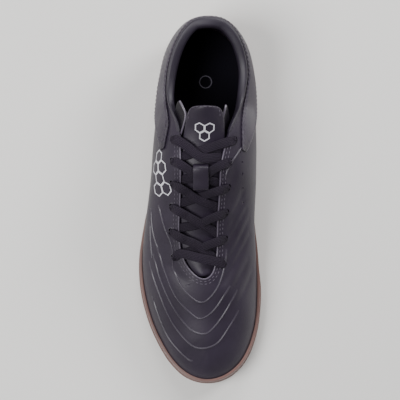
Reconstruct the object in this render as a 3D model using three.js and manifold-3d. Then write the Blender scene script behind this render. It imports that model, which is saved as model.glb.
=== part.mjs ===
// Indoor soccer shoe for the right foot: a hollow synthetic upper on a gum rubber cup sole.
// Millimetres, +Z up. The toe points to -Y, the heel to +Y, and the medial side to +X.
import * as THREE from "three";
import { mergeVertices } from "three/addons/utils/BufferGeometryUtils.js";
import Module from "manifold-3d";

const wasm = await Module();
wasm.setup();

// Overall sizes
const shoeLength = 250; // outsole, heel to toe
const ballWidth = 85; // outsole at the ball of the foot
const instepHeight = 70; // top of the lacing above the ground
const heelStack = 13; // footbed above the ground at the heel

// Sheet, rubber and padding thicknesses
const upperWall = 1.8;
const rimWall = 3; // cup wall of the sole at the footbed
const rimLip = 1.6; // cup wall at its top
const panelWall = 1; // rear quarter panel laid over the upper
const collarPad = 4.6;
const collarRoll = 2; // how far the padding rolls above the upper's edge
const insoleThick = 3;
const tonguePad = 4.5;
const tongueWing = 1.5;
const tongueCrown = 3; // how far the tongue swells up through the throat

// Outsole edge and tread
const flangeHeight = 4.5;
const flangeRound = 2.6;
const flangeStep = 0.9;
const grooveDepth = 1.5;
const grooveWidth = 2.2;

// Throat and lacing
const throatEnd = 176; // from the heel
const throatRound = 24;
const closingLength = 74; // over which the ribs past the throat's edge run on to meet at its end
const eyeletInset = 6.5;
const eyeletRadius = 1.9;
const laceWidth = 6;
const laceThick = 1.2;
const laceStop = 3; // where a lace ends short of the far edge, before it goes under
const laceSink = 0.25; // how far the upper strand of a crossing presses into the lower one
const keeperWidth = 10;
const keeperThick = 1;
const keeperHeelEnd = 8; // from the middle of the crossing that it holds
const keeperToeEnd = 6.9;
const keeperShoulder = 0.8; // share of each end at which the keeper has risen

const clearance = 0.3;

// The upper's ribs from heel to toe, the same number on each side.
// at, topAt: shares of the length for the sole outline and for the top line above it.
// lateral, medial: sole outline from the heel-to-toe line; middle, gap: the top line's centre and
// half opening; swell..., reach: how far the wall bulges low down and lies flat near its top.
// These are shares of the ball width. up and fall are shares of the instep height.
const ribColumns = [
  "at", "lateral", "medial", "topAt", "middle", "gap", "up",
  "swellLateral", "swellMedial", "reach", "fall",
];
const ribRows = [
  [0.0, 0.0, 0.0, 0.02, 0.014, 0.0, 0.886, 0.059, 0.059, 0.03, 0.2],
  [0.028, 0.194, 0.194, 0.03, 0.014, 0.129, 0.864, 0.07, 0.07, 0.035, 0.2],
  [0.094, 0.312, 0.312, 0.076, 0.014, 0.235, 0.814, 0.082, 0.082, 0.047, 0.186],
  [0.18, 0.365, 0.362, 0.15, 0.007, 0.296, 0.736, 0.082, 0.082, 0.065, 0.171],
  [0.272, 0.384, 0.362, 0.23, -0.012, 0.282, 0.75, 0.106, 0.129, 0.094, 0.171],
  [0.368, 0.405, 0.359, 0.302, -0.016, 0.201, 0.93, 0.129, 0.153, 0.188, 0.171],
  [0.464, 0.438, 0.359, 0.396, -0.045, 0.158, 0.98, 0.106, 0.165, 0.235, 0.143],
  [0.556, 0.5, 0.376, 0.484, -0.055, 0.152, 0.857, 0.094, 0.141, 0.212, 0.114],
  [0.644, 0.55, 0.412, 0.568, -0.068, 0.151, 0.77, 0.053, 0.112, 0.212, 0.086],
  [0.732, 0.546, 0.445, 0.644, -0.056, 0.145, 0.702, 0.029, 0.035, 0.235, 0.043],
  [0.816, 0.492, 0.437, 0.728, -0.012, 0.14, 0.634, 0.024, 0.024, 0.259, 0.0],
  [0.888, 0.405, 0.393, 0.8, 0.006, 0.14, 0.563, 0.024, 0.024, 0.235, 0.0],
  [0.948, 0.292, 0.305, 0.856, 0.008, 0.14, 0.52, 0.024, 0.024, 0.188, 0.0],
  [0.987, 0.155, 0.171, 0.89, 0.008, 0.14, 0.487, 0.024, 0.024, 0.153, 0.0],
  [1.0, -0.008, 0.008, 0.91, 0.008, 0.14, 0.464, 0.024, 0.024, 0.141, 0.0],
];

// The sole's side profile: under is the ground side, bed the footbed, rim the top of the cup wall,
// as shares of the heel stack. Equal neighbours make a flat stretch.
const soleColumns = ["at", "under", "bed", "rim"];
const soleRows = [
  [0.0, 0.18, 1.0, 1.62],
  [0.05, 0.0, 1.0, 1.6],
  [0.25, 0.0, 0.97, 1.5],
  [0.33, 0.12, 0.94, 1.4],
  [0.42, 0.2, 0.86, 1.3],
  [0.52, 0.1, 0.74, 1.14],
  [0.6, 0.0, 0.64, 1.03],
  [0.7, 0.0, 0.58, 0.97],
  [0.8, 0.0, 0.6, 0.99],
  [0.87, 0.1, 0.68, 1.1],
  [0.94, 0.34, 0.92, 1.34],
  [1.0, 0.66, 1.2, 1.6],
];

// Free top of the tongue: half width as a share of the ball width, height of its middle as a share
// of the instep height.
const tongueTopColumns = ["at", "half", "up"];
const tongueTopRows = [
  [0.315, 0.155, 1.05],
  [0.29, 0.148, 1.11],
  [0.266, 0.135, 1.17],
  [0.252, 0.1, 1.2],
];

// Eyelets from the ankle to the toe, as shares of the length along each top line. droop: how far
// the strand from that eyelet hangs towards the toe at its middle, as a share of the lace width.
const eyeletColumns = ["lateral", "medial", "droopLateral", "droopMedial"];
const eyeletRows = [
  [0.334, 0.334, 0.8, 0.0],
  [0.392, 0.392, 0.5, 0.5],
  [0.452, 0.458, 0.25, 0.0],
  [0.51, 0.523, 0.0, 0.25],
  [0.568, 0.588, -0.3, 0.1],
  [0.627, 0.652, 0.0, 0.0],
];

// How each strand lies between the throat's edge and its end: share of the way, then how much of the
// upper's wall, of the gap and of the strand that it crosses is still under it.
const strandColumns = ["at", "wall", "gaps", "crossed"];
const strandRows = [
  [0.2, 1, 2, 0],
  [0.34, 0.6, 1, 0.5],
  [0.5, 0, 0, 1],
  [0.68, 0, 0, 0.5],
  [0.84, 0, 0, 0],
  [1, 0, 0, 0],
];

// Rear quarter panel from the heel to its front tip: its lower and upper edges as shares of the
// height from the cup's rim to the top line.
const panelColumns = ["at", "low", "high"];
const panelRows = [
  [0.0, 0.17, 0.93],
  [0.5, 0.19, 0.93],
  [0.72, 0.34, 0.92],
  [0.87, 0.55, 0.85],
  [1.0, 0.7, 0.76],
];

const last = ribRows.length - 1;
const loopRows = 2 * last;

function table(columns, rows) {
  return rows.map((row) => Object.fromEntries(columns.map((name, i) => [name, row[i]])));
}

const ribs = table(ribColumns, ribRows);
const solePlan = table(soleColumns, soleRows);
const tongueTop = table(tongueTopColumns, tongueTopRows);
const eyelets = table(eyeletColumns, eyeletRows);
const strand = table(strandColumns, strandRows);
const panelPlan = table(panelColumns, panelRows);

// Value of a column round the whole shoe: heel, lateral side, toe, medial side, heel again.
function around(pick, q) {
  const base = Math.floor(q);
  const t = q - base;
  const [a, b, c, d] = [-1, 0, 1, 2].map((step) => {
    const n = (((base + step) % loopRows) + loopRows) % loopRows;
    return n <= last ? pick(ribs[n], -1) : pick(ribs[loopRows - n], 1);
  });
  const drift = (c - a) / 2;
  const next = (d - b) / 2;
  const rest = c - b - drift;
  return b + t * (drift + t * (3 * rest - (next - drift) + t * (next - drift - 2 * rest)));
}

// Smooth curve through rows that never overshoots them.
function profile(rows, name, at) {
  const x = rows.map((row) => row.at);
  const y = rows.map((row) => row[name]);
  const slopes = x.slice(1).map((right, i) => (y[i + 1] - y[i]) / (right - x[i]));
  const tangent = (i) => {
    if (i === 0 || i === x.length - 1) return slopes[Math.min(i, slopes.length - 1)];
    const [before, after] = [slopes[i - 1], slopes[i]];
    return before * after <= 0 ? 0 : (2 * before * after) / (before + after);
  };
  const place = THREE.MathUtils.clamp(at, x[0], x[x.length - 1]);
  let i = 0;
  while (i < x.length - 2 && place > x[i + 1]) i++;
  const width = x[i + 1] - x[i];
  const t = (place - x[i]) / width;
  const [m0, m1] = [tangent(i) * width, tangent(i + 1) * width];
  const h = t * t * (3 - 2 * t);
  return y[i] * (1 - h) + y[i + 1] * h + m0 * t * (1 - t) * (1 - t) - m1 * t * t * (1 - t);
}

const soleHeight = (name, at) => heelStack * profile(solePlan, name, at);

// A point from its share of the length, its distance to the medial side and its height.
const place = (at, side, up) => new THREE.Vector3(side, (0.5 - at) * shoeLength, up);
const shareOf = (point) => 0.5 - point.y / shoeLength;

function outline(q) {
  const side = ballWidth * around((rib, sign) => (sign < 0 ? -rib.lateral : rib.medial), q);
  return place(around((rib) => rib.at, q), side, 0);
}

function outward(q) {
  const step = 0.01;
  const along = outline(q + step).sub(outline(q - step));
  return new THREE.Vector3(along.y, -along.x, 0).normalize();
}

const topShare = (q) => around((rib) => rib.topAt, q);

// How far the ribs at a distance from the heel have closed over the throat: 0 to 1.
const closing = (distance) => THREE.MathUtils.smoothstep(distance, throatEnd - closingLength, throatEnd);

// Upper end of a rib: on the collar and throat edge, and further on above the throat itself.
function crest(q) {
  const at = topShare(q);
  const gap = around((rib, sign) => sign * rib.gap, q) * (1 - closing(at * shoeLength));
  const side = ballWidth * (around((rib) => rib.middle, q) + gap);
  return place(at, side, instepHeight * around((rib) => rib.up, q));
}

// Slope of the top line's height along the shoe, so both sides meet smoothly on the vamp.
function ridgeSlope(q) {
  const step = 0.01;
  const r = Math.min(q, loopRows - q, last - 0.15);
  const height = (at) => instepHeight * around((rib) => rib.up, at);
  const rise = height(r + step) - height(r - step);
  const run = shoeLength * (topShare(r - step) - topShare(r + step));
  return (rise / run) * closing(topShare(r) * shoeLength);
}

// One rib of the upper, from the footbed to the top line, as a cubic curve.
function ribCurve(q) {
  const out = outward(q);
  const foot = outline(q).addScaledVector(out, -(rimWall + clearance));
  foot.z = soleHeight("bed", shareOf(foot)) + clearance;
  const top = crest(q);
  const swell = ballWidth * around((rib, sign) => (sign < 0 ? rib.swellLateral : rib.swellMedial), q);
  const reach = ballWidth * around((rib) => rib.reach, q);
  const fall = instepHeight * around((rib) => rib.fall, q);
  const rise = 0.35 * (top.z - foot.z);
  const low = foot.clone().addScaledVector(out, swell);
  low.z += rise;
  const high = top.clone().addScaledVector(out, reach);
  high.z += out.y * reach * ridgeSlope(q) - fall;
  return new THREE.CubicBezierCurve3(foot, low, high, top);
}

function solve(low, high, tooLow) {
  for (let step = 0; step < 50; step++) {
    const half = (low + high) / 2;
    if (tooLow(half)) low = half;
    else high = half;
  }
  return (low + high) / 2;
}

const ribAtTop = (distance) => solve(0, last, (q) => topShare(q) * shoeLength < distance);

// Whether a point, seen from above, lies beside the throat, whose toe end is round.
function besideThroat(point) {
  const distance = shareOf(point) * shoeLength;
  const r = ribAtTop(distance);
  const t = THREE.MathUtils.clamp((distance - throatEnd) / throatRound + 1, 0, 1);
  const half = around((rib) => rib.gap, r) * Math.sqrt(1 - t * t);
  return Math.abs(point.x - ballWidth * around((rib) => rib.middle, r)) > ballWidth * half;
}

// Share of a rib at which it meets the collar's or throat's edge.
function edgeShare(q, curve) {
  const distance = topShare(q) * shoeLength;
  if (distance < throatEnd - closingLength || distance >= throatEnd) return 1;
  return solve(0.3, 1, (t) => besideThroat(curve.getPoint(t)));
}

// Ribs used by every piece, so that neighbours have matching facets. The throat's round end gets
// closer ones.
const sideRibs = 23;
const roundRibs = 6;
const toeRibs = 12;
const roundStart = ribAtTop(throatEnd - throatRound);
const roundStop = ribAtTop(throatEnd);
const stations = [];
for (let i = 0; i < sideRibs; i++) stations.push((roundStart * i) / sideRibs);
for (let i = 0; i < roundRibs; i++) {
  const share = Math.sin((i / roundRibs) * (Math.PI / 2));
  stations.push(ribAtTop(throatEnd - throatRound * (1 - share)));
}
for (let i = 0; i <= toeRibs; i++) stations.push(roundStop + ((last - roundStop) * i) / toeRibs);
const toe = stations.length - 1;
const loop = 2 * toe;
const closedFrom = sideRibs + roundRibs; // first rib whose two sides meet on the vamp
const wrap = (s) => ((s % loop) + loop) % loop;
const mirrored = (s) => wrap(-s);
const ribPlace = (s) => (wrap(s) <= toe ? stations[wrap(s)] : loopRows - stations[loop - wrap(s)]);

// Rows of each rib: the footbed, two up the cup wall, then evenly to the top line.
const wallRows = 6;
const rowCount = wallRows + 2;
const rimRow = 2;
const curves = Array.from({ length: loop }, (_, s) => ribCurve(ribPlace(s)));
const rowShares = curves.map((curve, s) => {
  const rimTop = soleHeight("rim", shareOf(outline(ribPlace(s))));
  const atRim = solve(0, 0.5, (t) => curve.getPoint(t).z < rimTop);
  const edge = edgeShare(ribPlace(s), curve);
  const shares = [0, atRim / 2, atRim];
  for (let k = 1; k <= wallRows; k++) shares.push(atRim + ((edge - atRim) * k) / wallRows);
  return shares;
});
const skin = curves.map((curve, s) => rowShares[s].map((t) => curve.getPoint(t)));

const isClosed = (s) => Math.min(wrap(s), loop - wrap(s)) >= closedFrom;

function gridNormal(s, j) {
  const along = skin[wrap(s + 1)][j].clone().sub(skin[wrap(s - 1)][j]);
  const up = skin[s][Math.min(j + 1, rowCount)].clone().sub(skin[s][Math.max(j - 1, 0)]);
  return along.cross(up).normalize();
}

const normals = skin.map((rib, s) =>
  rib.map((_, j) => {
    const own = gridNormal(s, j);
    return j === rowCount && isClosed(s) ? own.add(gridNormal(mirrored(s), j)).normalize() : own;
  }),
);
const offset = (s, j, depth) => skin[wrap(s)][j].clone().addScaledVector(normals[wrap(s)][j], depth);

// Collects triangles and turns them into a manifold solid.
function shape() {
  const points = [];
  const triangle = (a, b, c) => {
    const size = b.clone().sub(a).cross(c.clone().sub(a)).length();
    if (size > 1e-6) points.push(a, b, c);
  };
  const quad = (a, b, c, d) => {
    triangle(a, b, c);
    triangle(a, c, d);
  };
  return { quad, solid: () => solidFrom(new THREE.BufferGeometry().setFromPoints(points)) };
}

function solidFrom(geometry) {
  const bare = geometry.index ? geometry.toNonIndexed() : geometry.clone();
  bare.deleteAttribute("normal");
  bare.deleteAttribute("uv");
  const merged = mergeVertices(bare, 1e-3);
  const vertProperties = merged.attributes.position.array;
  const triVerts = new Uint32Array(merged.index.array);
  return new wasm.Manifold(new wasm.Mesh({ numProp: 3, vertProperties, triVerts }));
}

// Closed body between two grids of equal size, the first on the side its faces look to.
function slab(front, back) {
  const made = shape();
  const rows = front.length - 1;
  const columns = front[0].length - 1;
  for (let i = 0; i < rows; i++) {
    for (let k = 0; k < columns; k++) {
      made.quad(front[i][k], front[i + 1][k], front[i + 1][k + 1], front[i][k + 1]);
      made.quad(back[i][k], back[i][k + 1], back[i + 1][k + 1], back[i + 1][k]);
    }
    made.quad(front[i][0], back[i][0], back[i + 1][0], front[i + 1][0]);
    made.quad(front[i][columns], front[i + 1][columns], back[i + 1][columns], back[i][columns]);
  }
  for (let k = 0; k < columns; k++) {
    made.quad(front[0][k], front[0][k + 1], back[0][k + 1], back[0][k]);
    made.quad(front[rows][k], back[rows][k], back[rows][k + 1], front[rows][k + 1]);
  }
  return made.solid();
}

// Closed body through rings whose first and last collapse to a line.
function loft(rings) {
  const made = shape();
  for (let i = 0; i < rings.length - 1; i++) {
    for (let k = 0; k < rings[i].length; k++) {
      const next = (k + 1) % rings[i].length;
      made.quad(rings[i][next], rings[i][k], rings[i + 1][k], rings[i + 1][next]);
    }
  }
  return made.solid();
}

const finishes = {
  upper: { color: 0x2a2730, roughness: 0.5 },
  panel: { color: 0x34303b, roughness: 0.42 },
  lining: { color: 0x1d1b22, roughness: 0.6 },
  tongue: { color: 0x2b2831, roughness: 0.52 },
  insole: { color: 0x121217, roughness: 0.9 },
  lace: { color: 0x25222a, roughness: 0.85 },
  gum: { color: 0xa9785a, roughness: 0.55 },
};

function meshOf(name, solid, finish) {
  const { numProp, numVert, vertProperties, triVerts } = solid.getMesh();
  const positions = new Float32Array(numVert * 3);
  for (let i = 0; i < numVert; i++) {
    positions.set(vertProperties.subarray(i * numProp, i * numProp + 3), i * 3);
  }
  const geometry = new THREE.BufferGeometry();
  geometry.setAttribute("position", new THREE.BufferAttribute(positions, 3));
  geometry.setIndex(new THREE.BufferAttribute(triVerts, 1));
  geometry.computeVertexNormals();
  const mesh = new THREE.Mesh(geometry, new THREE.MeshStandardMaterial(finishes[finish]));
  mesh.name = name;
  return mesh;
}

// Point, direction and edge of an eyelet, for the side -1 lateral or 1 medial.
function eyeletPlace(row, sign) {
  const distance = shoeLength * (sign < 0 ? eyelets[row].lateral : eyelets[row].medial);
  const r = ribAtTop(distance);
  const q = sign < 0 ? r : loopRows - r;
  const curve = ribCurve(q);
  const end = edgeShare(q, curve);
  const edge = curve.getPoint(end);
  const t = solve(0.3, end, (share) => curve.getPoint(share).distanceTo(edge) > eyeletInset);
  const point = curve.getPoint(t);
  const ahead = ribCurve(q + 0.02).getPoint(t).sub(ribCurve(q - 0.02).getPoint(t));
  const normal = ahead.cross(curve.getTangent(t)).normalize();
  return { point, edge, normal };
}

function upper() {
  const made = shape();
  const inner = skin.map((_, s) => skin[s].map((_, j) => offset(s, j, -upperWall)));
  for (let s = 0; s < loop; s++) {
    const n = wrap(s + 1);
    for (let j = 0; j < rowCount; j++) {
      made.quad(skin[s][j], skin[n][j], skin[n][j + 1], skin[s][j + 1]);
      made.quad(inner[s][j], inner[s][j + 1], inner[n][j + 1], inner[n][j]);
    }
    made.quad(inner[s][0], inner[n][0], skin[n][0], skin[s][0]);
    if (!isClosed(s) || !isClosed(n)) {
      made.quad(skin[s][rowCount], skin[n][rowCount], inner[n][rowCount], inner[s][rowCount]);
    }
  }
  let solid = made.solid();
  const bore = new THREE.CylinderGeometry(eyeletRadius, eyeletRadius, 4 * upperWall, 10);
  for (let row = 0; row < eyelets.length; row++) {
    for (const sign of [-1, 1]) {
      const { point, normal } = eyeletPlace(row, sign);
      const turn = new THREE.Quaternion().setFromUnitVectors(new THREE.Vector3(0, 1, 0), normal);
      const drill = bore.clone().applyQuaternion(turn).translate(point.x, point.y, point.z);
      solid = solid.subtract(solidFrom(drill));
    }
  }
  return meshOf("upper", solid, "upper");
}

// Across the sole from the lateral to the medial side, at a height given by the share of length.
function across(lateral, medial, steps, height) {
  const points = [];
  for (let k = 1; k < steps; k++) {
    const point = lateral.clone().lerp(medial, k / steps);
    point.z = height(shareOf(point));
    points.push(point);
  }
  return points;
}

// One side of the cup sole at a rib, from the ground edge over the lip to the footbed.
function soleSide(s) {
  const q = ribPlace(s);
  const out = outward(q);
  const edge = outline(q);
  const at = shareOf(edge);
  const ground = soleHeight("under", at);
  const step = (inset, up) => {
    const point = edge.clone().addScaledVector(out, -inset);
    point.z = up;
    return point;
  };
  const beside = (j, gap) => skin[wrap(s)][j].clone().addScaledVector(out, gap);
  const lipOuter = beside(rimRow, clearance + rimLip);
  const ledge = step(flangeStep, ground + flangeHeight + flangeStep);
  const middle = ledge.clone().lerp(lipOuter, 0.5);
  const lipInner = beside(rimRow, clearance);
  const wallInner = beside(1, clearance);
  const bedEdge = beside(0, clearance);
  bedEdge.z = soleHeight("bed", shareOf(bedEdge));
  const foot = step(flangeRound, soleHeight("under", shareOf(step(flangeRound, 0))));
  const bulge = step(flangeRound / 4, ground + flangeHeight / 3);
  return [foot, bulge, step(0, ground + flangeHeight), ledge, middle, lipOuter, lipInner, wallInner, bedEdge];
}

// Chevron groove across the tread, its point towards the toe.
function groove(at, width) {
  const half = width / 2;
  const back = width / 10;
  const outlinePoints = [
    [-half, 0],
    [0, -back],
    [half, 0],
    [half, grooveWidth],
    [0, grooveWidth - back],
    [-half, grooveWidth],
  ].map(([x, y]) => new THREE.Vector2(x, y));
  const depth = 2 * grooveDepth;
  const bar = new THREE.ExtrudeGeometry(new THREE.Shape(outlinePoints), { depth, bevelEnabled: false });
  const spot = place(at, 0, -grooveDepth);
  return solidFrom(bar.translate(spot.x, spot.y, spot.z));
}

// Grooves start and stop on the tread's two flat stretches.
const treads = [
  { from: 0.075, to: 0.235, count: 6, width: 0.5 * ballWidth },
  { from: 0.625, to: 0.79, count: 8, width: 0.66 * ballWidth },
];

function outsole() {
  const acrossSteps = 5;
  const rings = stations.map((_, s) => {
    const lateral = soleSide(s);
    const medial = soleSide(mirrored(s));
    const bed = across(lateral[8], medial[8], acrossSteps, (at) => soleHeight("bed", at));
    const ground = across(medial[0], lateral[0], acrossSteps, (at) => soleHeight("under", at));
    return [...lateral, ...bed, ...medial.reverse(), ...ground];
  });
  let solid = loft(rings);
  for (const { from, to, count, width } of treads) {
    for (let i = 0; i < count; i++) {
      solid = solid.subtract(groove(THREE.MathUtils.lerp(from, to, i / (count - 1)), width));
    }
  }
  return meshOf("outsole", solid, "gum");
}

function insole() {
  const acrossSteps = 4;
  const side = (s, up) => {
    const point = offset(s, 0, -(upperWall + 2 * clearance));
    point.z = soleHeight("bed", shareOf(point)) + up;
    return point;
  };
  const rings = stations
    .map((_, s) => s)
    .filter((s) => s % 2 === 0 || s === toe)
    .map((s) => {
      const [low, high] = [clearance, clearance + insoleThick];
      const [lateral, medial] = [side(s, low), side(mirrored(s), low)];
      const [lateralTop, medialTop] = [side(s, high), side(mirrored(s), high)];
      const top = across(lateralTop, medialTop, acrossSteps, (at) => soleHeight("bed", at) + high);
      const under = across(medial, lateral, acrossSteps, (at) => soleHeight("bed", at) + low);
      return [lateral, lateralTop, ...top, medialTop, medial, ...under];
    });
  return meshOf("insole", loft(rings), "insole");
}

// Point beside the skin at a share of the height from the cup's rim to the top line.
function besideSkin(s, share, depth) {
  const row = rimRow + share * wallRows;
  const below = Math.min(Math.floor(row), rowCount - 1);
  return offset(s, below, depth).lerp(offset(s, below + 1, depth), row - below);
}

// Rear quarter panel, laid over the upper round the heel and drawn to a tip beside the lacing. Its
// points keep to the upper's own rows between its two edges, so the two lie flat on each other.
const panelRibs = 15;

function heelQuarter() {
  const grid = (depth) => {
    const rows = [];
    for (let s = -panelRibs; s <= panelRibs; s++) {
      const at = Math.abs(s) / panelRibs;
      const [low, high] = [profile(panelPlan, "low", at), profile(panelPlan, "high", at)];
      const row = [besideSkin(-s, low, depth)];
      for (let k = 1; k < wallRows; k++) {
        row.push(besideSkin(-s, THREE.MathUtils.clamp(k / wallRows, low, high), depth));
      }
      row.push(besideSkin(-s, high, depth));
      rows.push(row);
    }
    return rows;
  };
  const solid = slab(grid(clearance), grid(clearance + panelWall));
  return meshOf("heel_quarter", solid, "panel");
}

// Padded collar lining: inside the upper's top edge and rolled over it.
const liningRibs = 14;

function collarLining() {
  const outerSide = [];
  const innerSide = [];
  const lift = new THREE.Vector3(0, 0, 1);
  for (let s = -liningRibs; s <= liningRibs; s++) {
    const share = Math.abs(s) / liningRibs;
    const thick = collarPad * (1 - 0.7 * THREE.MathUtils.smoothstep(share, 0.55, 1));
    const skinSide = upperWall + clearance;
    const point = (j, depth, up) => offset(s, j, -depth).addScaledVector(lift, up);
    const [low, mid, high, top] = [rowCount - 3, rowCount - 2, rowCount - 1, rowCount];
    outerSide.push([
      point(low, skinSide, 0),
      point(mid, skinSide, 0),
      point(high, skinSide, 0),
      point(top, skinSide, clearance),
      point(top, skinSide + 0.2 * thick, clearance + 0.8 * collarRoll),
    ]);
    innerSide.push([
      point(low, skinSide + 0.3 * thick, 0),
      point(mid, skinSide + thick, 0),
      point(high, skinSide + thick, 0),
      point(top, skinSide + 0.9 * thick, 0.3 * collarRoll),
      point(top, skinSide + 0.6 * thick, collarRoll),
    ]);
  }
  return meshOf("collar_lining", slab(outerSide, innerSide), "lining");
}

// Tongue section at a rib: wings under the eyestays and a crowned middle.
const tongueSteps = 6;
const firstTongueRib = liningRibs; // the lining's front end
const lastTongueRib = closedFrom - 2;

function tongueSection(s) {
  const spread = THREE.MathUtils.smoothstep(s, firstTongueRib, firstTongueRib + 4);
  const under = (index, j) => offset(index, j, -(upperWall + clearance * (3 - 2 * spread)));
  const wing = (index) => under(index, rowCount).lerp(under(index, rowCount - 1), 0.1 + 0.9 * spread);
  const lateral = under(s, rowCount);
  const medial = under(mirrored(s), rowCount);
  const middle = [];
  for (let k = 0; k <= tongueSteps; k++) {
    const share = k / tongueSteps;
    const point = lateral.clone().lerp(medial, share);
    point.z += tongueCrown * 4 * share * (1 - share);
    middle.push(point);
  }
  return [wing(s), ...middle, wing(mirrored(s))];
}

function freeTongueSection(row) {
  const centre = ballWidth * around((rib) => rib.middle, ribAtTop(row.at * shoeLength));
  const half = row.half * ballWidth;
  const points = [];
  for (let k = -1; k <= tongueSteps + 1; k++) {
    const share = THREE.MathUtils.clamp((2 * k) / tongueSteps - 1, -1.12, 1.12) / 1.12;
    const height = row.up * instepHeight - 2 * tongueCrown * share * share;
    points.push(place(row.at, centre + half * share, height));
  }
  return points;
}

function tongueTopSurface() {
  const sections = tongueTop.map(freeTongueSection).reverse();
  for (let s = firstTongueRib + 1; s <= lastTongueRib; s++) sections.push(tongueSection(s));
  return sections;
}

const tongueSurface = tongueTopSurface();

function tongue() {
  const under = tongueSurface.map((row, i) =>
    row.map((point, k) => {
      const share = Math.abs((2 * k) / (row.length - 1) - 1);
      const taper = THREE.MathUtils.smoothstep(share, 0.55, 0.85);
      const blunt = i === 0 ? 0.6 : 1;
      const thick = THREE.MathUtils.lerp(tonguePad, tongueWing, taper) * blunt;
      return point.clone().setZ(point.z - thick);
    }),
  );
  return meshOf("tongue", slab(tongueSurface, under), "tongue");
}

// Point between a list's neighbours where their coordinate passes a value.
function between(points, axis, value) {
  const rising = points[points.length - 1][axis] > points[0][axis];
  let i = 0;
  while (i < points.length - 2 && points[i + 1][axis] < value === rising) i++;
  const share = (value - points[i][axis]) / (points[i + 1][axis] - points[i][axis]);
  return points[i].clone().lerp(points[i + 1], THREE.MathUtils.clamp(share, 0, 1));
}

// Height of the tongue's top surface, and its direction up, under a point.
function tongueHeight(x, y) {
  const columns = tongueSurface[0].map((_, k) => between(tongueSurface.map((row) => row[k]), "y", y));
  return between(columns, "x", x).z;
}

function tongueNormal(x, y) {
  const step = laceWidth / 2;
  const slopeX = (tongueHeight(x + step, y) - tongueHeight(x - step, y)) / (2 * step);
  const slopeY = (tongueHeight(x, y + step) - tongueHeight(x, y - step)) / (2 * step);
  return new THREE.Vector3(-slopeX, -slopeY, 1).normalize();
}

// Flat woven band along a smooth line. Each knot has a point on its underside and a direction up.
function band(knots, width, thick, steps) {
  const line = new THREE.CatmullRomCurve3(knots.map((knot) => knot.point));
  const ups = new THREE.CatmullRomCurve3(knots.map((knot) => knot.up));
  const topSide = [];
  const underSide = [];
  for (let i = 0; i <= steps; i++) {
    const t = i / steps;
    const up = ups.getPoint(t).normalize();
    const across = up.clone().cross(line.getTangent(t)).normalize().multiplyScalar(width / 2);
    const centre = line.getPoint(t);
    const raised = centre.clone().addScaledVector(up, thick);
    underSide.push([centre.clone().add(across), centre.clone().sub(across)]);
    topSide.push([raised.clone().add(across), raised.clone().sub(across)]);
  }
  return slab(underSide, topSide);
}

// Shares of a straight line between two eyelets at which, seen from above, it crosses the edges.
function edgeCrossings(from, to) {
  const beside = (t) => besideThroat(from.clone().lerp(to, t));
  return [solve(0, 0.5, beside), solve(0.5, 1, (t) => !beside(t))];
}

function edgeHeight(distance, sign) {
  const r = ribAtTop(distance);
  const q = sign < 0 ? r : loopRows - r;
  const curve = ribCurve(q);
  return curve.getPoint(edgeShare(q, curve)).z;
}

const skyward = new THREE.Vector3(0, 0, 1);

// Lace from an eyelet across the tongue to the next eyelet on the far side, as far as its edge.
function laceRun(row, sign, isOver) {
  const start = eyeletPlace(row, sign);
  const finish = eyeletPlace(row + 1, -sign);
  const droop = laceWidth * (sign < 0 ? eyelets[row].droopLateral : eyelets[row].droopMedial);
  const [near, far] = edgeCrossings(start.point, finish.point);
  const span = start.point.distanceTo(finish.point);
  const stop = far - laceStop / span;
  const over = start.point.clone().lerp(finish.point, near);
  over.z = edgeHeight(shareOf(over) * shoeLength, sign);
  const ease = start.normal.clone().lerp(skyward, 0.5).normalize();
  const knots = [
    { point: start.point.clone().addScaledVector(start.normal, clearance), up: start.normal },
    { point: over.addScaledVector(ease, 3 * clearance), up: ease },
  ];
  const under = isOver ? laceThick - laceSink : 0;
  for (const { at, wall, gaps, crossed } of strand) {
    const point = start.point.clone().lerp(finish.point, THREE.MathUtils.lerp(near, stop, at));
    point.y -= droop * Math.sin(Math.PI * at) ** 2;
    const lift = wall * upperWall + (gaps + 1.3) * clearance + crossed * under;
    point.z = tongueHeight(point.x, point.y) + lift;
    knots.push({ point, up: tongueNormal(point.x, point.y) });
  }
  return band(knots, laceWidth, laceThick, 12);
}

function laceCross(row) {
  const solid = laceRun(row, -1, true).add(laceRun(row, 1, false));
  return meshOf(`lace_cross_${row + 1}`, solid, "lace");
}

function laceBar() {
  const [left, right] = [-1, 1].map((sign) => eyeletPlace(eyelets.length - 1, sign));
  const lift = (spot, share) => {
    const up = spot.normal.clone().lerp(skyward, share).normalize();
    return { point: (share ? spot.edge : spot.point).clone().addScaledVector(up, 2 * clearance), up };
  };
  const mid = left.edge.clone().lerp(right.edge, 0.5);
  mid.z = tongueHeight(mid.x, mid.y) + laceThick + 4.5 * clearance;
  const top = { point: mid, up: tongueNormal(mid.x, mid.y) };
  const knots = [lift(left, 0), lift(left, 0.5), top, lift(right, 0.5), lift(right, 0)];
  return meshOf("lace_bar", band(knots, laceWidth, laceThick, 12), "lace");
}

// Loop on the tongue that holds the second crossing.
function laceKeeper() {
  const spots = [eyeletPlace(1, -1), eyeletPlace(2, 1), eyeletPlace(1, 1), eyeletPlace(2, -1)];
  const centre = spots.reduce((sum, spot) => sum.add(spot.point), new THREE.Vector3()).divideScalar(4);
  centre.y -= laceWidth * eyelets[1].droopLateral;
  const arch = 2 * laceThick + 2.4 * clearance;
  const knot = (y, lift) => {
    const up = tongueNormal(centre.x, y);
    const point = new THREE.Vector3(centre.x, y, tongueHeight(centre.x, y) + clearance);
    return { point: point.addScaledVector(up, lift), up };
  };
  const knots = [
    knot(centre.y + keeperHeelEnd, 0),
    knot(centre.y + keeperShoulder * keeperHeelEnd, arch),
    knot(centre.y, arch),
    knot(centre.y - keeperShoulder * keeperToeEnd, arch),
    knot(centre.y - keeperToeEnd, 0),
  ];
  return meshOf("lace_keeper", band(knots, keeperWidth, keeperThick, 8), "tongue");
}

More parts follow.
